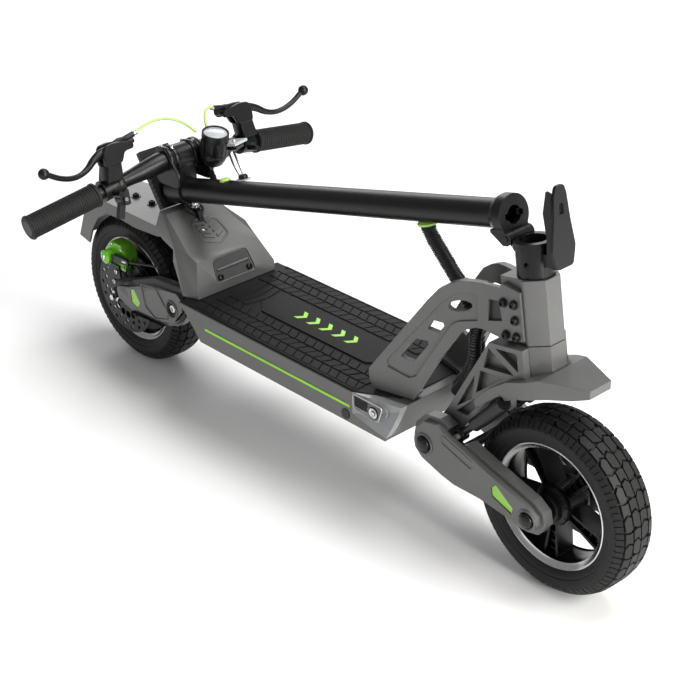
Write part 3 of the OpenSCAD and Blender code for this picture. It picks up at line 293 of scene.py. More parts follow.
class Piece:
    """Collects several shapes into one mesh."""

    def __init__(self, name, *mats):
        self.name, self.mats = name, mats
        self.v, self.f, self.m = [], [], []

    def add(self, verts, faces, m=0):
        n = len(self.v)
        self.v += [tuple(p) for p in verts]
        self.f += [tuple(n + i for i in f) for f in faces]
        self.m += [m] * len(faces)

    def prism(self, outline, lo, hi, place, m=0, chamfer=0.0, both_ends=False):
        """An outline between two heights, with its top edges drawn in by chamfer."""
        c = sum((Vector(p) for p in outline), Vector((0, 0))) / len(outline)
        size = max((Vector(p) - c).length for p in outline)
        k = 1 - chamfer / size if size else 1
        tight = [c + (Vector(p) - c) * k for p in outline]
        rings = []
        if both_ends and chamfer:
            rings.append((tight, lo))
            rings.append((outline, lo + chamfer))
        else:
            rings.append((outline, lo))
        if chamfer:
            rings.append((outline, hi - chamfer))
            rings.append((tight, hi))
        else:
            rings.append((outline, hi))
        n = len(outline)
        verts = [place(p[0], p[1], h) for ring, h in rings for p in ring]
        faces = [tuple(range(n)), tuple(range((len(rings) - 1) * n, len(rings) * n))]
        for r in range(len(rings) - 1):
            faces += [(r * n + i, r * n + (i + 1) % n, (r + 1) * n + (i + 1) % n, (r + 1) * n + i)
                      for i in range(n)]
        self.add(verts, faces, m)

    def lathe(self, profile, place, steps=72, m=0):
        """A closed profile of (radius, height) turned about the height axis."""
        n = len(profile)
        verts = [place(r * math.cos(2 * math.pi * k / steps), r * math.sin(2 * math.pi * k / steps), h)
                 for k in range(steps) for r, h in profile]
        faces = [(k * n + i, k * n + (i + 1) % n, (k + 1) % steps * n + (i + 1) % n, (k + 1) % steps * n + i)
                 for k in range(steps) for i in range(n)]
        self.add(verts, faces, m)

    def tube(self, pts, radius, sides=14, m=0, per=6, hint=(0, 0, 1)):
        """A round bar along a smooth line of world points in metres; radius in mm or a function of 0 to 1."""
        mid = smooth_line(pts, per) if per > 1 else [Vector(p) for p in pts]
        last = len(mid) - 1
        hint = Vector(hint)
        verts = []
        for i, p in enumerate(mid):
            d = (mid[min(i + 1, last)] - mid[max(i - 1, 0)]).normalized()
            u = hint - d * hint.dot(d)
            if u.length < 0.05:
                u = d.orthogonal()
            u.normalize()
            hint = u
            w = d.cross(u)
            r = (radius(i / last) if callable(radius) else radius) / 1000
            verts += [p + (u * math.cos(2 * math.pi * k / sides) + w * math.sin(2 * math.pi * k / sides)) * r
                      for k in range(sides)]
        faces = [tuple(range(sides)), tuple(range(last * sides, (last + 1) * sides))]
        faces += [(i * sides + k, i * sides + (k + 1) % sides, (i + 1) * sides + (k + 1) % sides,
                   (i + 1) * sides + k) for i in range(last) for k in range(sides)]
        self.add(verts, faces, m)

    def ball(self, centre, radius, m=0, steps=20):
        c = Vector(centre)
        rings = steps // 2
        verts = [c + Vector((0, 0, radius / 1000)), c - Vector((0, 0, radius / 1000))]
        for j in range(1, rings):
            a = math.pi * j / rings
            for k in range(steps):
                b = 2 * math.pi * k / steps
                verts.append(c + Vector((math.sin(a) * math.cos(b), math.sin(a) * math.sin(b), math.cos(a)))
                             * radius / 1000)
        faces = []
        for k in range(steps):
            q = (k + 1) % steps
            faces.append((0, 2 + k, 2 + q))
            faces.append((1, 2 + (rings - 2) * steps + q, 2 + (rings - 2) * steps + k))
            for j in range(rings - 2):
                a = 2 + j * steps
                faces.append((a + k, a + steps + k, a + steps + q, a + q))
        self.add(verts, faces, m)

    def bolt(self, centre, direction, r, h, m=0):
        """A round-headed socket bolt standing on a face."""
        d = Vector(direction).normalized()
        u = d.orthogonal().normalized()
        w = d.cross(u)
        c = Vector(centre)
        self.lathe([(0.01, -1), (r, -1), (r, h * 0.45), (r * 0.92, h * 0.8), (r * 0.62, h), (r * 0.5, h),
                    (r * 0.45, h * 0.4), (0.01, h * 0.4)],
                   lambda a, b, k: c + (u * a + w * b + d * k) / 1000, 24, m)

    def done(self, body, *replaced, slot=None, angle=38):
        """Makes the object; edges sharper than angle stay sharp."""
        me = bpy.data.meshes.new(self.name)
        me.from_pydata([tuple(v) for v in self.v], [], self.f)
        for mat in self.mats:
            me.materials.append(M[mat])
        me.polygons.foreach_set("material_index", self.m)
        bm = bmesh.new()
        bm.from_mesh(me)
        bmesh.ops.recalc_face_normals(bm, faces=bm.faces)
        bm.to_mesh(me)
        bm.free()
        o = bpy.data.objects.new(self.name, me)
        bpy.context.scene.collection.objects.link(o)
        o.data.shade_smooth()
        o.data.set_sharp_from_angle(angle=math.radians(angle))
        if body:
            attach(o, body)
        if replaced:
            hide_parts(*replaced)
        return o


# ------------------------------------------------------------------ tyres
def crown(y):
    """Outer radius of the tread at a distance from the middle."""
    y = abs(y)
    pts = [(0, 127.3), (12, 127.1), (19, 126.2), (25, 123.8), (30, 119.6), (33, 114.5), (34.6, 108)]
    for (a, ra), (b, rb) in zip(pts, pts[1:]):
        if y <= b:
            return ra + (rb - ra) * (y - a) / (b - a)
    return pts[-1][1]


WHEEL_STEPS = 120       # sides of the turned rings on the wheels
TREAD_FLOOR = 4.2       # depth of the grooves
PITCHES = 20
# Tread blocks of one pitch: (part of the pitch, distance from the middle)
TREAD = [
    [(0.02, 0.8), (0.46, 0.8), (0.62, 6), (0.54, 13.2), (0.14, 13.2), (0.04, 7)],
    [(0.52, 0.8), (0.96, 0.8), (1.00, 6.5), (0.96, 13.2), (0.62, 13.2), (0.69, 6)],
    [(0.03, 15.2), (0.45, 15.2), (0.52, 21), (0.36, 25.4), (0.00, 25.0), (-0.03, 20)],
    [(0.52, 15.2), (0.93, 15.2), (0.90, 20), (0.94, 25.2), (0.48, 25.4), (0.60, 21)],
    [(0.02, 27.2), (0.22, 27.2), (0.22, 33.2), (0.03, 33.4)],
    [(0.255, 27.2), (0.46, 27.2), (0.45, 33.4), (0.255, 33.2)],
    [(0.52, 27.2), (0.72, 27.2), (0.72, 33.2), (0.53, 33.4)],
    [(0.755, 27.2), (0.96, 27.2), (0.95, 33.4), (0.755, 33.2)],
]


def tyre(name, place, body, node):
    p = Piece(name, "tyre_black")
    side = [(88.4, 23.5), (89.2, 26.6), (92.5, 29.6), (96, 31.6), (97.2, 32.0), (98.2, 32.0), (101, 33.6),
            (104, 34.6), (108, 34.9), (111, 34.4), (112.2, 33.4)]
    arc = [(crown(y) - TREAD_FLOOR, y) for y in (32.5, 30, 27, 23, 18, 12, 6)]
    half = side + arc
    profile = half + [(crown(0) - TREAD_FLOOR, 0)] + [(r, -y) for r, y in reversed(half)]
    p.lathe(profile, about(place), WHEEL_STEPS)
    step = 2 * math.pi / PITCHES
    for k in range(PITCHES):
        for s in (-1, 1):
            shift = 0.0 if s > 0 else 0.5
            for block in TREAD:
                low, high = [], []
                mid_u = sum(u for u, y in block) / len(block)
                mid_y = sum(y for u, y in block) / len(block)
                for u, y in block:
                    for ring, f, drop in ((low, 1.03, 4.4), (high, 0.97, 0.0)):
                        a = (k + shift + mid_u + (u - mid_u) * f) * step
                        yy = mid_y + (y - mid_y) * f
                        r = crown(yy) - drop
                        ring.append(place(r * math.cos(a), s * yy, r * math.sin(a)))
                n = len(block)
                p.add(low + high, [tuple(range(n)), tuple(range(n, 2 * n))]
                      + [(i, (i + 1) % n, n + (i + 1) % n, n + i) for i in range(n)])
    # A bead line and short ribs on each sidewall
    for s in (-1, 1):
        p.lathe([(99.2, 32.4 * s), (100.6, 34.0 * s), (102.0, 34.0 * s), (101.6, 33.0 * s)],
                about(place), WHEEL_STEPS)
        for k in range(72):
            a = k * math.pi / 36
            d = math.radians(1.0)     # half a rib's width
            p.add([place(r * math.cos(a + e), s * y, r * math.sin(a + e))
                   for r, y in ((109.5, 34.0), (113.6, 33.9)) for e in (-d, d)]
                  + [place(r * math.cos(a + e), s * (y + 0.7), r * math.sin(a + e))
                     for r, y in ((110.2, 34.0), (113.2, 33.4)) for e in (-d * 0.6, d * 0.6)],
                  [(0, 1, 3, 2), (4, 5, 7, 6), (0, 1, 5, 4), (2, 3, 7, 6), (0, 2, 6, 4), (1, 3, 7, 5)])
    p.done(body, node, angle=30)


tyre("front_tyre_tread", front, "front_wheel", "front_tyre")
tyre("rear_tyre_tread", rear, "rear_wheel", "rear_tyre")


# ------------------------------------------------------------------ rims
def lips(name, place, body):
    p = Piece(name, "steel_bright")
    for s in (-1, 1):
        p.lathe([(81.5, 20.6 * s), (87.9, 22.6 * s), (89.4, 25.2 * s), (89.2, 27.6 * s), (87.8, 28.2 * s),
                 (86.2, 27.0 * s), (84.4, 24.6 * s), (80.4, 22.0 * s)], about(place), WHEEL_STEPS)
    p.done(body)


lips("front_rim_lips", front, "front_wheel")
lips("rear_rim_lips", rear, "rear_wheel")

p = Piece("front_rim_casting", "alloy_black", "steel_black")
xz = about(front)
p.lathe([(88, -23), (88, 23), (85.5, 24.2), (83.2, 22.6), (80.5, 15), (79.4, 5), (79.4, -5), (80.5, -15),
         (83.2, -22.6), (85.5, -24.2)], xz, 96)
p.lathe([(6.15, -36), (17, -36), (20, -34), (21, -25), (27, -23), (29, -19), (29, -15), (25, -13), (24, 0),
         (25, 13), (29, 15), (29, 19), (27, 23), (21, 25), (20, 34), (17, 36), (6.15, 36)], xz, 60)
SPOKES = 5
FIRST_SPOKE = 20        # degrees
for i in range(SPOKES):
    a = math.radians(FIRST_SPOKE + 72 * i)
    ca, sa = math.cos(a), math.sin(a)

    def spoke(r, t, h, ca=ca, sa=sa):
        return front(r * ca + t * sa, h, -r * sa + t * ca)
    for s in (-1, 1):
        p.prism([(20, 3.2 * s), (20, 7.6 * s), (50, 8.6 * s), (81, 12.6 * s), (81, 8.2 * s), (50, 4.8 * s)],
                -15.5, 15.5, spoke, 0, 1.2, True)
    p.prism([(20, -7), (20, 7), (50, 8), (81, 12), (81, -12), (50, -8)], -5, 5, spoke)
    for r in (34, 47, 60, 72):
        p.prism([(r, -5), (r, 5), (r + 2.4, 5), (r + 2.4, -5)], -11, 11, spoke)
for i in range(2 * SPOKES):
    a = math.radians(FIRST_SPOKE + 36 * i)
    for s in (-1, 1):
        p.bolt(front(25.5 * math.cos(a), 22.6 * s, -25.5 * math.sin(a)), (0, s, 0), 1.7, 1.6, 1)
p.done("front_wheel", "front_rim", slot="alloy_black", angle=35)

p = Piece("rear_hub_screws", "steel_black", "steel_bright")
for i in range(12):
    a = math.radians(30 * i)
    for s in (-1, 1):
        p.bolt(rear(51 * math.cos(a), 20 * s, 51 * math.sin(a)), (0, s, 0), 2.6, 2.2, 0)
for s in (-1, 1):
    p.lathe([(43, 19.6 * s), (47, 19.6 * s), (46, 21.8 * s), (44, 21.8 * s)], about(rear), 72, 0)
    p.lathe([(60, 11.6 * s), (79, 11.6 * s), (76, 14.6 * s), (63, 14.6 * s)], about(rear), 72, 0)
p.done("rear_wheel")

# ------------------------------------------------------------------ deck lights
p = Piece("deck_light_lines", "light_green")
strip_lo, strip_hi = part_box("side_light_strips")
x0, x1 = strip_lo.x * 1000, strip_hi.x * 1000
for s in (-1, 1):
    p.prism([(x0 + 0.6, 180.4), (x1 - 0.6, 180.4), (x1 - 0.6, 184.6), (x0 + 0.6, 184.6)], 95, 99.0,
            about(world, side=s), 0, 0.7)
p.done("deck", "side_light_strips")

WEDGE_FACE = 98.2       # outer face of the lamp wedges
p = Piece("nose_lamp_fittings", "steel_bright", "plastic_black", "switch_silver")
for s in (-1, 1):
    face = about(world, side=s, y=WEDGE_FACE)
    for r, m, lift in ((8.6, 1, 0), (7.4, 0, 0.25)):
        p.lathe([(0.1, -1), (r, -1), (r + 0.8, 0.6), (r - 0.4, 1.5), (r - 2.2, 0.9), (r - 3.6, 0.5), (2.6, 1.7),
                 (0.1, 2.0)], lambda a, b, h, face=face, lift=lift: face(198 + a, 191 + b, h + lift), 36, m)
    for k in range(5):
        z = 3.3 * k
        p.prism([(161, 187.5 + z), (186, 187.5 + z), (187, 189.3 + z), (161, 189.3 + z)], -0.8, 0.9, face, 1, 0.3)
    rim = rounded([(159, 184), (159, 203.5), (214, 203.5), (206, 180), (186, 180)], 3, 3)
    border(p, rim, face, 1.6, -0.4, 0.8, 2)
p.done("deck", angle=40)

# ------------------------------------------------------------------ deck mat
DECK_Z1, MAT_TOP = 206.0, 209.0
p = Piece("deck_mat_moulding", "rubber_mat", "light_green")
edge = [(-225.7, -96.3), (156, -96.3), (217, -62.5), (217, 62.5), (156, 96.3), (-225.7, 96.3)]
p.prism(edge, DECK_Z1, MAT_TOP - 1.5, world, 0, 0.6)
for side in (-1, 1):
    p.prism([(-202, 92.6 * side), (158, 92.6 * side), (161, 95.4 * side), (-202, 95.4 * side)],
            MAT_TOP - 2, MAT_TOP, world, 0, 0.4)
BLOCK_PITCH = 18.2
ROW_START, LAST_BLOCK, ROW_END = -200, 150, 157
rows = [(36.5, 54.0, 9), (56.0, 73.0, -9), (75.0, 91.5, 9)]
for side in (-1, 1):
    for j, (y0, y1, lean) in enumerate(rows):
        for k in range(20):
            x = ROW_START + BLOCK_PITCH * k + (4 if j == 1 else 0)
            if x > LAST_BLOCK:
                continue
            groove = 1.7 if (k + j) % 3 else 3.0
            x1 = x + BLOCK_PITCH - groove
            block = [(x, y0), (x1, y0), (x1 + lean, y1), (x + lean, y1)]
            block = [(min(a, ROW_END), b * side) for a, b in block]
            p.prism(block, MAT_TOP - 2, MAT_TOP, world, 0, 0.7)
panel = [(-136, -10), (-112, -32), (112, -32), (136, -10), (136, 10), (112, 32), (-112, 32), (-136, 10)]
p.prism(panel, MAT_TOP - 2, MAT_TOP + 0.6, world, 0, 1.0)
for s in (-1, 1):
    for k in range(3):
        x0 = s * (146 + 15 * k)
        p.prism([(x0, -34), (x0 + s * 9, -34), (x0 - s * (6 - 2 * k) + s * 9, 0), (x0 + s * 9, 34), (x0, 34),
                 (x0 - s * 8, 0)], MAT_TOP - 2, MAT_TOP, world, 0, 0.6)
for k in range(5):      # green chevrons
    x = -54 + 27 * k
    p.prism([(x - 9, -11), (x - 1, -11), (x + 8, 0), (x - 1, 11), (x - 9, 11), (x, 0)],
            MAT_TOP - 0.5, MAT_TOP + 0.85, world, 1)
p.done("deck", "deck_mat", slot="rubber_mat", angle=30)

# ------------------------------------------------------------------ grips, levers and bars
# Where the bar bends and where it ends, about the stem: height above it, distance to the side, distance along
BEND = (53, 38, 690)
TIP = (18, 270, 713)
GRIP = 114 / 232        # where the grips start, as a part of the way from bend to tip
THROTTLE = GRIP - 0.168


def on_bar(f, side=1):
    """The stem coordinates of a point part of the way from bend to tip."""
    return (BEND[0] + (TIP[0] - BEND[0]) * f, side * (BEND[1] + (TIP[1] - BEND[1]) * f),
            BEND[2] + (TIP[2] - BEND[2]) * f)


def bar(f, side):
    return stem(*on_bar(f, side))


for s, word in SIDES:
    p = Piece("grip_" + word, "rubber_grip", "plastic_black")
    steps = 150

    def ribs(f):
        if f < 0.045 or f > 0.965:
            return 19.0 if 0.008 < f < 0.99 else 17.6
        return 17.9 if (f * 31) % 1 < 0.62 else 16.9
    a, b = bar(GRIP, s), bar(1.0, s)
    p.tube([a.lerp(b, i / steps) for i in range(steps + 1)], ribs, 32, 0, 1)
    c, e = bar(0.985, s), bar(1.0, s)
    p.tube([c, e + (e - c) * 0.12], 12, 24, 1, 1)
    o = p.done("stem", slot="rubber_grip", angle=50)
    if s < 0:
        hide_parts("grips")

p = Piece("handlebar_tube", "alloy_black", "steel_black")
way = (0.07, 0.16, 0.3, 0.5, 0.75, 0.995)
line = [bar(f, -1) for f in reversed(way)]
line += [stem(53.6, -34, 689.7), stem(53, -22, 690), stem(53, 22, 690), stem(53.6, 34, 689.7)]
line += [bar(f, 1) for f in way]
pts = smooth_line(line, 8)
half = [abs(q.y) * 1000 for q in pts]
ends = len(pts) - 1


def bar_radius(f):
    """Thick at the clamp and thinner under the grips, with a smooth taper from y 40 to y 106."""
    y = half[round(f * ends)]
    g = min(1, max(0, (y - 40) / 66))
    return 15.9 - 4.8 * g * g * (3 - 2 * g)


p.tube(pts, bar_radius, 28, 0, 1)
p.done("stem", "handlebar", slot="alloy_black")

# Brake lever pin, in stem coordinates
bracket = on_bar(GRIP - 0.09)
PIN = (bracket[0] + 57, bracket[1] - 6, bracket[2] - 14)
for s, word in SIDES:
    p = Piece("lever_blade_" + word, "alloy_black", "steel_bright")
    route = [(0, 0), (-1, 16), (-7, 31), (-16, 45), (-21, 62), (-20, 80), (-14, 98), (-5, 114), (-1, 121)]
    pts = [stem(PIN[0] + x, s * (PIN[1] + y), PIN[2] - 0.12 * y) for x, y in route]

    def blade(f):
        return 7.6 - 3.4 * min(1, f * 2.2) + (1.2 if f > 0.9 else 0)
    p.tube(pts, blade, 18, 0, 6)
    p.ball(stem(PIN[0] - 1, s * (PIN[1] + 122), PIN[2] - 14.6), 8.4)
    p.bolt(stem(PIN[0], s * PIN[1], PIN[2] - 8.4), -SZ, 4.2, 3, 1)
    p.done("brake_lever_" + word, "brake_lever_" + word, slot="alloy_black", angle=60)

for s, word in SIDES:
    p = Piece("lever_perch_" + word, "alloy_black", "steel_bright")

    def across(a, b, h, s=s):
        return stem(a, s * b, h)
    foot = rounded([(50, 116), (50, 144), (66, 141), (79, 139), (79, 113), (64, 114)], 5, 3)
    p.prism(foot, PIN[2] - 12, PIN[2] + 12, across, 0, 2.2, True)
    cheek = rounded([(74, 141), (92, 142), (105, 137), (107, 120), (104, 98), (101, 86), (91, 86), (90, 104),
                     (74, 112)], 5, 3)
    for low in (-12.4, 5.6):
        p.prism(cheek, PIN[2] + low, PIN[2] + low + 6.6, across, 0, 1.8, True)
    p.bolt(stem(PIN[0], s * PIN[1], PIN[2] + 12), SZ, 4.4, 3, 1)
    p.tube([stem(99.5, s * 90, PIN[2]), stem(101.5, s * 80, PIN[2] - 0.6)], 5.4, 20, 0, 1)
    p.tube([stem(31, s * 131, PIN[2] - 20), stem(31, s * 131, PIN[2] + 22)], 4.6, 18, 0, 1)
    c = bar(0.4014, s)
    d = (bar(0.42, s) - c).normalized()
    for k in (-12, 9):
        q = c + d * k / 1000
        p.tube([q, q + d * 3 / 1000], 16.6, 36, 0, 1)
    p.done("stem", angle=40)

p = Piece("throttle_clamp", "plastic_black", "steel_bright")
c = bar(THROTTLE, -1)
d = (bar(GRIP, -1) - c).normalized()
p.tube([c - d * 0.0055, c - d * 0.004, c + d * 0.004, c + d * 0.0055], collar(15.4, 14.4), 36, 0, 1)
at = on_bar(THROTTLE, -1)
for z in (-13.2, 9):
    p.prism(rounded([(-33, -3), (-12, -3), (-8, 7), (-33, 7)], 3, 3), z, z + 4.2,
            lambda a, b, h: stem(at[0] + a, at[1] + b, at[2] + h), 0, 0.8, True)
p.tube([stem(at[0] - 24, at[1], at[2] - 14), stem(at[0] - 24, at[1], at[2] + 14)], 3.0, 16, 1, 1)
far = bar(0.16, 1)
far_dir = (bar(0.3, 1) - far).normalized()
p.tube([far - far_dir * 0.001, far, far + far_dir * 0.013, far + far_dir * 0.015],
       collar(19.5, 17.5), 36, 0, 1)
p.done("stem", "switch_pod", slot="plastic_black", angle=40)

# ------------------------------------------------------------------ cables
p = Piece("brake_cable_sleeves", "cable_green", "plastic_black", "steel_bright")
base = (PIN[0] + 11.4, PIN[1] - 45, PIN[2] - 1)
routes = {-1: [(0, 0, 0), (8, -20, -3), (12, -42, -6), (9, -64, -10), (-2, -84, -16), (-20, -98, -26)],
          1: [(0, 0, 0), (5, -12, -5), (4, -25, -10), (-8, -35, -17), (-34, -40, -24)]}
for s, route in routes.items():
    def from_base(a, b, c, s=s):
        return stem(base[0] + a, s * (base[1] + b), base[2] + c)
    p.tube([from_base(*q) for q in route], 2.0, 12, 0, 8)
    p.tube([from_base(-1.5, 12, 0), from_base(1.5, -3, -0.7)], 4.4, 16, 1, 1)
    p.tube([from_base(1.5, -3, -0.7), from_base(3, -9, -2)], 3.3, 16, 2, 1)
p.done("stem", "brake_cables", slot="cable_green")

p = Piece("wiring_sleeve", "cable_black", "cable_green")
route = [world(201.4, 0, 440.2), world(205, 0, 430), world(215, 0, 418), world(228, 0, 405), world(240, 0, 393)]
line = smooth_line(route, 40)
p.tube(line, ribbed(26, 10.2, 8.4), 24, 0, 1, (0, 1, 0))
p.lathe([(4, -3), (13, -3), (14, 0), (11, 3), (4, 3)],
        lambda a, b, h: route[0] + (SZ * a + YY * b + SX * h) / 1000, 32, 1)
sleeve = p.done(None, "wiring_conduit", slot="cable_black", angle=60)
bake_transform(sleeve)


# ------------------------------------------------------------------ CAD shapes with worked edges
WELD = 2e-6             # metres
FLAT_ANGLE = 1.2        # degrees; flatter edges are dissolved
BEVEL_ANGLE = 24
SHARP_ANGLE = 16


def worked(node, width, cutter=None):
    """A copy of a CAD node with its hard edges rounded, which stands for the node."""
    src = nodes[node]
    me = src.data.copy()
    me.name = node + "_finished"
    o = bpy.data.objects.new(node + "_finished", me)
    bpy.context.scene.collection.objects.link(o)
    bm = bmesh.new()
    bm.from_mesh(me)
    bmesh.ops.remove_doubles(bm, verts=bm.verts, dist=WELD)
    bmesh.ops.dissolve_limit(bm, angle_limit=math.radians(FLAT_ANGLE), verts=bm.verts, edges=bm.edges)
    bm.to_mesh(me)
    bm.free()
    if cutter:
        cut = o.modifiers.new("recess", "BOOLEAN")
        cut.object = cutter
        cut.solver = "EXACT"
    mod = o.modifiers.new("edges", "BEVEL")
    mod.width = width / 1000
    mod.segments = 2
    mod.limit_method = "ANGLE"
    mod.angle_limit = math.radians(BEVEL_ANGLE)
    mod.use_clamp_overlap = True
    mod.miter_outer = "MITER_ARC"
    made = finish_mesh(o)
    made.shade_smooth()
    made.set_sharp_from_angle(angle=math.radians(SHARP_ANGLE))
    if cutter:
        bpy.data.objects.remove(cutter)
    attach(o, src["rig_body"])
    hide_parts(node)


for n, w in (("neck_plates", 1.2), ("fork_crown", 0.9), ("head_tube", 0.8),
             ("rear_fender", 1.0), ("front_fender", 1.0), ("rear_arm_covers", 1.2), ("front_swingarm", 1.4),
             ("deck_shell", 0.9), ("rear_caliper", 1.0), ("front_caliper", 1.0), ("lock_lever", 0.9),
             ("lower_clamp", 0.7), ("stem_flange", 0.7), ("bar_stem", 1.4), ("lever_brackets", 1.4),
             ("rear_reflectors", 0.5), ("front_reflectors", 0.5), ("headlight_wedges", 0.7)):
    worked(n, w)

# ------------------------------------------------------------------ neck bolts
BLOCK_MID = -88.25      # middle of the bolted block, down the column from the hinge
NECK_FACE = 33          # outer face of the neck plates
p = Piece("neck_bolt_heads", "steel_black")
for s in (-1, 1):
    for bx, bz in ((-28, 9.5), (-11, 9.5), (-11, -11.5), (-28, -33.5), (-11, -33.5)):
        p.lathe([(0.2, 0), (6.6, 0), (6.6, 0.8), (0.2, 0.8)],
                about(column, bx, BLOCK_MID + bz, s, NECK_FACE), 28)
        p.bolt(column(bx, s * (NECK_FACE + 1.6), BLOCK_MID + bz), (0, s, 0), 4.9, 4.2)
p.done("deck")

# ------------------------------------------------------------------ footrest
p = Piece("footrest_trim", "paint_grey", "steel_black", "plastic_black", "steel_bright", "plate_dark")
SLOPE_OUT = Vector((33, 0, 17))


def slope(u, v, h):
    """On the sloping face above the deck: u across, v up the slope, h out of it."""
    o = Vector((221, 0, 131))
    n = SLOPE_OUT.normalized()
    d = Vector((-17, 0, 33)).normalized()
    return (REAR + o + YY * u + d * v + n * h) / 1000


def upper(u, v, h):
    """On the upper face: u across, v up towards the tail, h out of it."""
    o = Vector((206, 0, 139))
    d = Vector((-76, 0, 39)).normalized()
    n = Vector((39, 0, 76)).normalized()
    return (REAR + o + YY * u + d * v + n * h) / 1000


cut = Piece("footrest_recess", "paint_grey")
cut.prism(rounded([(-38, -40), (38, -40), (34, -6), (27, -3), (-27, -3), (-34, -6)], 4, 3), -2.3, 8, slope)
worked("rear_footrest", 1.2, cutter=cut.done(None))
# Raised hexagon with a chevron on the upper face
hexa = [(0, 5), (22, 16), (22, 44), (12, 56), (-12, 56), (-22, 44), (-22, 16)]
border(p, rounded(hexa, 2.5, 2), upper, 4.0, -0.6, 1.5)
for s in (-1, 1):
    for v in (14, 24, 34, 44):
        p.prism([(s * 3, v), (s * 18, v + 7), (s * 18, v + 13), (s * 3, v + 5.5)][::s], -0.5, 1.6, upper, 0, 0.6)
    p.bolt(slope(28 * s, -33, -1.8), SLOPE_OUT, 5.0, 4.4, 1)
p.tube([slope(-30, -21, -1.5), slope(30, -21, -1.5)], 2.2, 12, 0, 1)
# Painted shade: a thin dark plate_dark sheet at the bottom of the footrest recess, darker than the grey paint
# around it, stands in for the shade inside the recess
p.prism(rounded([(-36, -38.5), (36, -38.5), (32.4, -7.4), (26, -4.6), (-26, -4.6), (-32.4, -7.4)], 4, 3),
        -2.6, -1.7, slope, 4, 0.3)
p.done("deck", angle=40)

p = Piece("fold_hook_fittings", "steel_bright", "cable_black")
p.ball(rear(143, 0, 186), 6.0, 0)
p.lathe([(2, -5), (7.5, -5), (8.5, -3), (7, -1), (2, -1)], lambda a, b, h: rear(143 + a, b, 186 + h), 28, 0)
p.tube([rear(150, -5, 172), rear(149, -13, 180), rear(139, -14, 187), rear(131, -4, 188), rear(134, 8, 184),
        rear(145, 13, 177), rear(152, 7, 171)], 2.1, 10, 1, 8)
p.done("deck")

# ------------------------------------------------------------------ arms
p = Piece("front_arm_fittings", "paint_grey", "steel_black", "steel_bright")
FRONT_PIVOT, FRONT_AXLE = (-183, 33), (0, 0)
REAR_PIVOT = (172, 42)
FRONT_ARM_FACE, REAR_ARM_FACE = 70, 79
for s in (-1, 1):
    for centre, r in ((FRONT_PIVOT, 11.0), (FRONT_AXLE, 10.0)):
        p.lathe([(r + 1.6, 67.5), (r + 5.2, 68.5), (r + 5.0, 71.4), (r + 3.4, 72.0), (r + 1.6, 71.0)],
                about(front, *centre, s), 48)
    oblong = rounded([(-150, 50), (-150, 60), (-96, 42), (-96, 32)], 5, 5)
    border(p, oblong, about(front, side=s, y=FRONT_ARM_FACE), 2.2, -0.5, 1.1)
p.done("front_arm")
p = Piece("front_arm_caps", "steel_black")
for s in (-1, 1):
    for centre in (FRONT_PIVOT, FRONT_AXLE):
        p.lathe([(0.1, 69), (10.3, 69), (10.3, 71.6), (9.6, 73.6), (7.6, 75.4), (4.6, 76.6), (0.1, 77.0)],
                about(front, *centre, s), 36)
p.done("front_arm")

p = Piece("rear_arm_fittings", "paint_grey", "steel_black", "steel_bright")
for s in (-1, 1):
    hexa = rounded([(96, 58), (104, 24), (128, 12), (160, 22), (158, 34), (132, 64)], 4, 3)
    border(p, hexa, about(rear, side=s, y=REAR_ARM_FACE), 3.0, -0.5, 1.6)
    place = about(rear, *REAR_PIVOT, s)
    p.lathe([(12.0, 76), (15.6, 77.5), (15.2, 80.4), (13.4, 80.8), (12.0, 79.6)], place, 48, 0)
    p.lathe([(8.0, 72), (11.8, 72), (11.8, 78.4), (10.4, 79.2), (8.4, 78.6)], place, 40, 1)
p.done("rear_arm")
p = Piece("rear_pivot_caps", "steel_bright")
for s in (-1, 1):
    p.lathe([(0.1, 73), (7.0, 73), (7.0, 76.4), (6.0, 77.8), (3.6, 78.2), (3.2, 76.4), (0.1, 76.4)],
            about(rear, *REAR_PIVOT, s), 32)
p.done("deck")
p = Piece("rear_axle_ends", "steel_bright", "steel_black")
for s in (-1, 1):
    place = about(rear, side=s)
    p.lathe([(0.1, 62), (9.6, 62), (10.4, 64), (9.8, 66.5), (6.3, 67.5), (6.1, 72), (5.2, 74), (0.1, 74.4)],
            place, 6, 0)
    p.lathe([(6, 57), (13.5, 57), (13.8, 59.5), (12.8, 61), (6, 61)], place, 40, 1)
p.done("rear_arm")

# ------------------------------------------------------------------ rear fender and brake
p = Piece("rear_fender_trim", "steel_black", "paint_grey")
for x in (-13, 30):
    p.bolt(rear(x, 0, 153.6), (0, 0, 1), 5.4, 3.6)
    p.lathe([(5, 151.2), (8.4, 151.2), (8.2, 152.5), (5, 152.5)], lambda a, b, h, x=x: rear(x + a, b, h), 30, 0)
p.done("deck")

p = Piece("rear_caliper_fittings", "steel_bright", "steel_black", "paint_green")
p.lathe([(0.1, 67), (9.5, 67), (11.6, 68.5), (11.6, 71), (9, 72.6), (5.2, 73), (0.1, 73)],
        about(rear, -12, 68, -1), 36, 2)
p.bolt(rear(-12, -73.2, 68), (0, -1, 0), 4.6, 3, 0)
for x, z in ((-16, 52), (20, 54), (18, 86), (-8, 88)):
    p.bolt(rear(x, -58.3, z), (0, -1, 0), 3.2, 3, 0)
for x, z in ((-4, 24), (4, 44)):
    p.bolt(rear(x, -61.4, z), (0, -1, 0), 4.0, 3, 0)
p.done("rear_arm")
p = Piece("rear_brake_cable", "cable_black", "steel_bright")
p.tube([rear(42, -64, 74), rear(66, -63, 79), rear(92, -60, 84), rear(118, -57, 88)], 2.0, 10, 0, 8)
p.tube([rear(30, -64.5, 72), rear(40, -64.2, 73.6)], 3.4, 14, 1, 1)
p.done("rear_arm")

# ------------------------------------------------------------------ headlamp
p = Piece("headlamp_housing", "plastic_black", "steel_bright", "lens_clear", "cable_green", "cable_black",
          "switch_silver")
LAMP = (57, 35, 645)     # in stem coordinates
FINS = 14
TILT = math.radians(25)


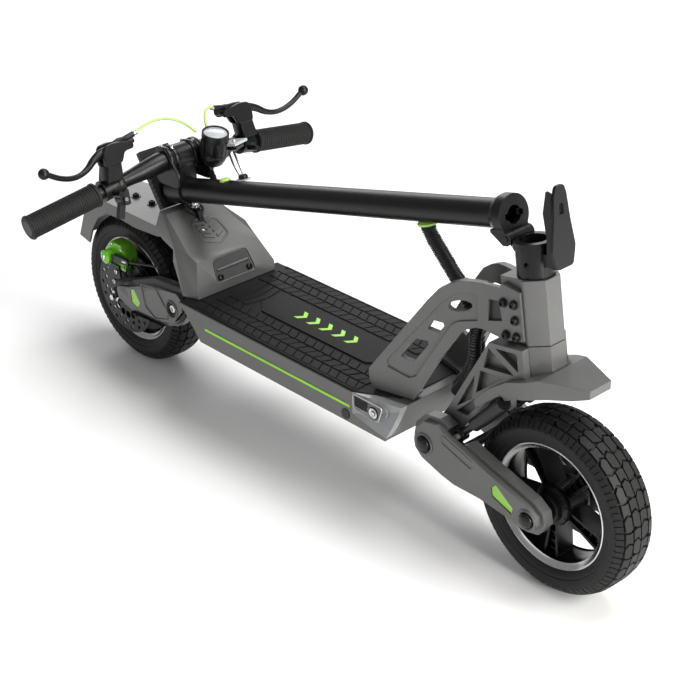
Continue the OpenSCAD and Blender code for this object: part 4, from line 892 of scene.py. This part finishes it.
def lamp(a, b, h):
    """About the lamp's own axis; h runs from its back end to its lens."""
    x = math.cos(TILT) * h + math.sin(TILT) * a
    z = -math.sin(TILT) * h + math.cos(TILT) * a
    return stem(LAMP[0] + x, LAMP[1] + b, LAMP[2] + z)


p.lathe([(0.1, -27), (11, -27), (15, -24), (19, -16), (20.4, -12), (20.4, -8), (19.6, -7), (19.6, -4), (20.6, -3),
         (20.6, 20), (21, 21), (21, 28.5), (19.2, 29), (18.4, 25), (0.1, 25)], lamp, 64)
for k in range(FINS):
    a = 2 * math.pi * k / FINS
    p.prism([(math.cos(a + e) * r, math.sin(a + e) * r) for r, e in ((15, 0.1), (21.2, 0.07), (21.2, -0.07),
            (15, -0.1))], -6, 16, lamp, 0, 0.5, True)
p.lathe([(0.1, 22.5), (6, 22.2), (12, 23.4), (17.5, 26.6), (18.5, 26.2), (17, 21), (0.1, 21)], lamp, 56, 1)
p.lathe([(0.1, 27.4), (17.6, 27.2), (18.3, 26.8), (18.3, 25.4), (0.1, 25.4)], lamp, 56, 5)


def lead_radius(f):
    """A ribbed boot on the first half of the lamp's lead, then the bare lead."""
    if f < 0.5:
        return 5.4 if (f * 17) % 1 < 0.5 else 4.4
    return 2.6


p.tube([lamp(0, 0, -26), lamp(2, -3, -38), stem(6, 22, 640), stem(4, 14, 618), stem(12, 4, 600),
        stem(17.5, 0, 590)], lead_radius, 16, 4, 8)
p.lathe([(2, 0), (8, 0), (8.4, 2), (6.5, 4.5), (3, 5)], on_tube(17.6, 0, 585), 32, 3)
p.done("stem", "headlamp", angle=45)
p = Piece("lamp_bracket", "switch_silver", "steel_black", "steel_bright")
p.lathe([(0.1, 0), (11, 0), (11, 1.6), (8, 2), (0.1, 2)], on_tube(18.4, 10, 552), 36, 0)
p.lathe([(0.1, 2), (7, 2), (7.4, 5), (6, 8), (0.1, 8)], on_tube(18.4, 10, 552), 30, 1)
for dy in (0, 9):
    p.tube([stem(24, 8 + dy * 0.7, 556), stem(36, 25 + dy, 590), stem(47, 44 + dy, 622)], 1.7, 12, 2, 5)
p.prism([(606, 46), (634, 40), (646, 72), (618, 80)], 58, 62.5, on_tube(), 0, 1.2, True)
p.prism([(612, 52), (632, 48), (640, 70), (622, 74)], 51, 58, on_tube(), 1, 1.0, True)
p.bolt(stem(62.5, 60, 626), SX, 3, 2, 2)
p.done("stem", angle=40)
p = Piece("bar_clamp_cover", "alloy_black", "steel_bright")
BAR_T, BAR_S = BEND[0], BEND[2]
for s in (-1, 1):
    for along in (14, -14):
        p.bolt(stem(BAR_T + 19, 20 * s, BAR_S + along), SX, 3.4, 3.4, 1)
    for y0 in (14, 24):
        p.lathe([(16.2, y0), (22.4, y0), (23, y0 + 1.2), (23, y0 + 5.6), (22.4, y0 + 6.8), (16.2, y0 + 6.8)],
                about(stem, BAR_T, BAR_S, s), 48)
    p.prism(rounded([(10, 662), (30, 655), (76, 680), (76, 700), (52, 716), (20, 712)], 8, 4), 26.5, 33,
            about(stem, side=s), 0, 1.5, True)
p.done("stem", angle=40)

# ------------------------------------------------------------------ wiring below the fork
p = Piece("wiring_lower", "cable_black", "cable_green")
path = smooth_line([world(240, 0, 393), world(252, 0, 381), world(264, 0, 370), world(277, 0, 351),
                    world(291, 0, 318), world(294, 0, 280), world(278, 0, 245), world(262, 0, 222)], 40)
p.tube(path, ribbed(50, 10.0, 8.2), 20, 0, 1, (0, 1, 0))
p.lathe([(7, -3), (12.2, -3), (12.8, 0), (12.2, 3), (7, 3)],
        lambda a, b, h: world(262 + 0.7 * h + 0.7 * a, b, 372 - 0.7 * h + 0.7 * a), 32, 1)
lower = p.done(None, slot="cable_black", angle=60)
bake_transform(lower)
p = Piece("wiring_branch", "cable_black")
path = smooth_line([world(312, -14, 345), world(304, -15, 318), world(302, -15, 280), world(288, -15, 245),
                    world(272, -15, 222)], 40)
p.tube(path, ribbed(34, 8.6, 7.2), 20, 0, 1, (0, 1, 0))
p.prism([(-109, 228), (-82, 236), (-88, 270), (-109, 266)], -29, 29, about(front), 0, 0.5, True)
p.done("deck")

# ------------------------------------------------------------------ stage, light and camera
FLOOR = 9               # metres from the middle to each edge
floor_mesh = bpy.data.meshes.new("floor")
floor_mesh.from_pydata([(-FLOOR, -FLOOR, 0), (FLOOR, -FLOOR, 0), (FLOOR, FLOOR, 0), (-FLOOR, FLOOR, 0)], [],
                       [(0, 1, 2, 3)])
floor = bpy.data.objects.new("floor", floor_mesh)
bpy.context.scene.collection.objects.link(floor)
floor_mesh.materials.append(material("floor_white", (0.95, 0.95, 0.95), 0.8, 0, 50, 0.0, 0.01, spec=0.2))


def area(name, at, to, size, power, tint=(1, 1, 1)):
    light = bpy.data.lights.new(name, "AREA")
    light.shape = "RECTANGLE"
    light.size, light.size_y = size
    light.energy = power
    light.color = tint
    o = bpy.data.objects.new(name, light)
    o.location = at
    o.rotation_euler = (Vector(to) - Vector(at)).to_track_quat("-Z", "Y").to_euler()
    bpy.context.scene.collection.objects.link(o)


area("key", (2.8, 0.5, 1.9), (0.2, 0, 0.25), (1.6, 1.2), 78, (1.0, 0.985, 0.95))
area("front", (3.1, -0.1, 0.75), (0.4, 0, 0.3), (0.7, 0.7), 60, (1.0, 0.985, 0.95))
area("over", (0.5, 0.9, 3.2), (0, 0, 0.2), (2.4, 1.8), 84)
area("fill", (-0.3, -3.2, 1.2), (0, 0, 0.25), (2.4, 1.0), 8)
area("back", (-2.6, 1.8, 1.6), (-0.2, 0, 0.3), (2.0, 1.2), 26)
SKY_STRENGTH = 0.30
sky = bpy.data.worlds.new("studio")
sky.use_nodes = True
background = sky.node_tree.nodes["Background"]
background.inputs["Color"].default_value = (1, 1, 1, 1)
background.inputs["Strength"].default_value = SKY_STRENGTH
bpy.context.scene.world = sky
bpy.context.scene.view_settings.view_transform = "Standard"

# The camera is fitted to the view that the object is shown in: its place in metres and its angles
CAMERA_AT = (1.5612, -1.381, 1.303)
CAMERA_TURN = (48.134, 28.019, -1.411)      # degrees: azimuth, elevation, roll
CAMERA_LENS, SENSOR = 86.61, 36
lens = bpy.data.cameras.new("camera")
lens.sensor_width = SENSOR
lens.lens = CAMERA_LENS
lens.clip_end = 60
cam = bpy.data.objects.new("camera", lens)
az, el, roll = map(math.radians, CAMERA_TURN)
back = Vector((math.sin(az) * math.cos(el), -math.cos(az) * math.cos(el), math.sin(el)))
right = Vector((math.cos(az), math.sin(az), 0))
up = back.cross(right)
r1 = right * math.cos(roll) + up * math.sin(roll)
u1 = up * math.cos(roll) - right * math.sin(roll)
cam.matrix_world = Matrix([(r1[i], u1[i], back[i], CAMERA_AT[i]) for i in range(3)] + [(0, 0, 0, 1)])
bpy.context.scene.collection.objects.link(cam)
bpy.context.scene.camera = cam
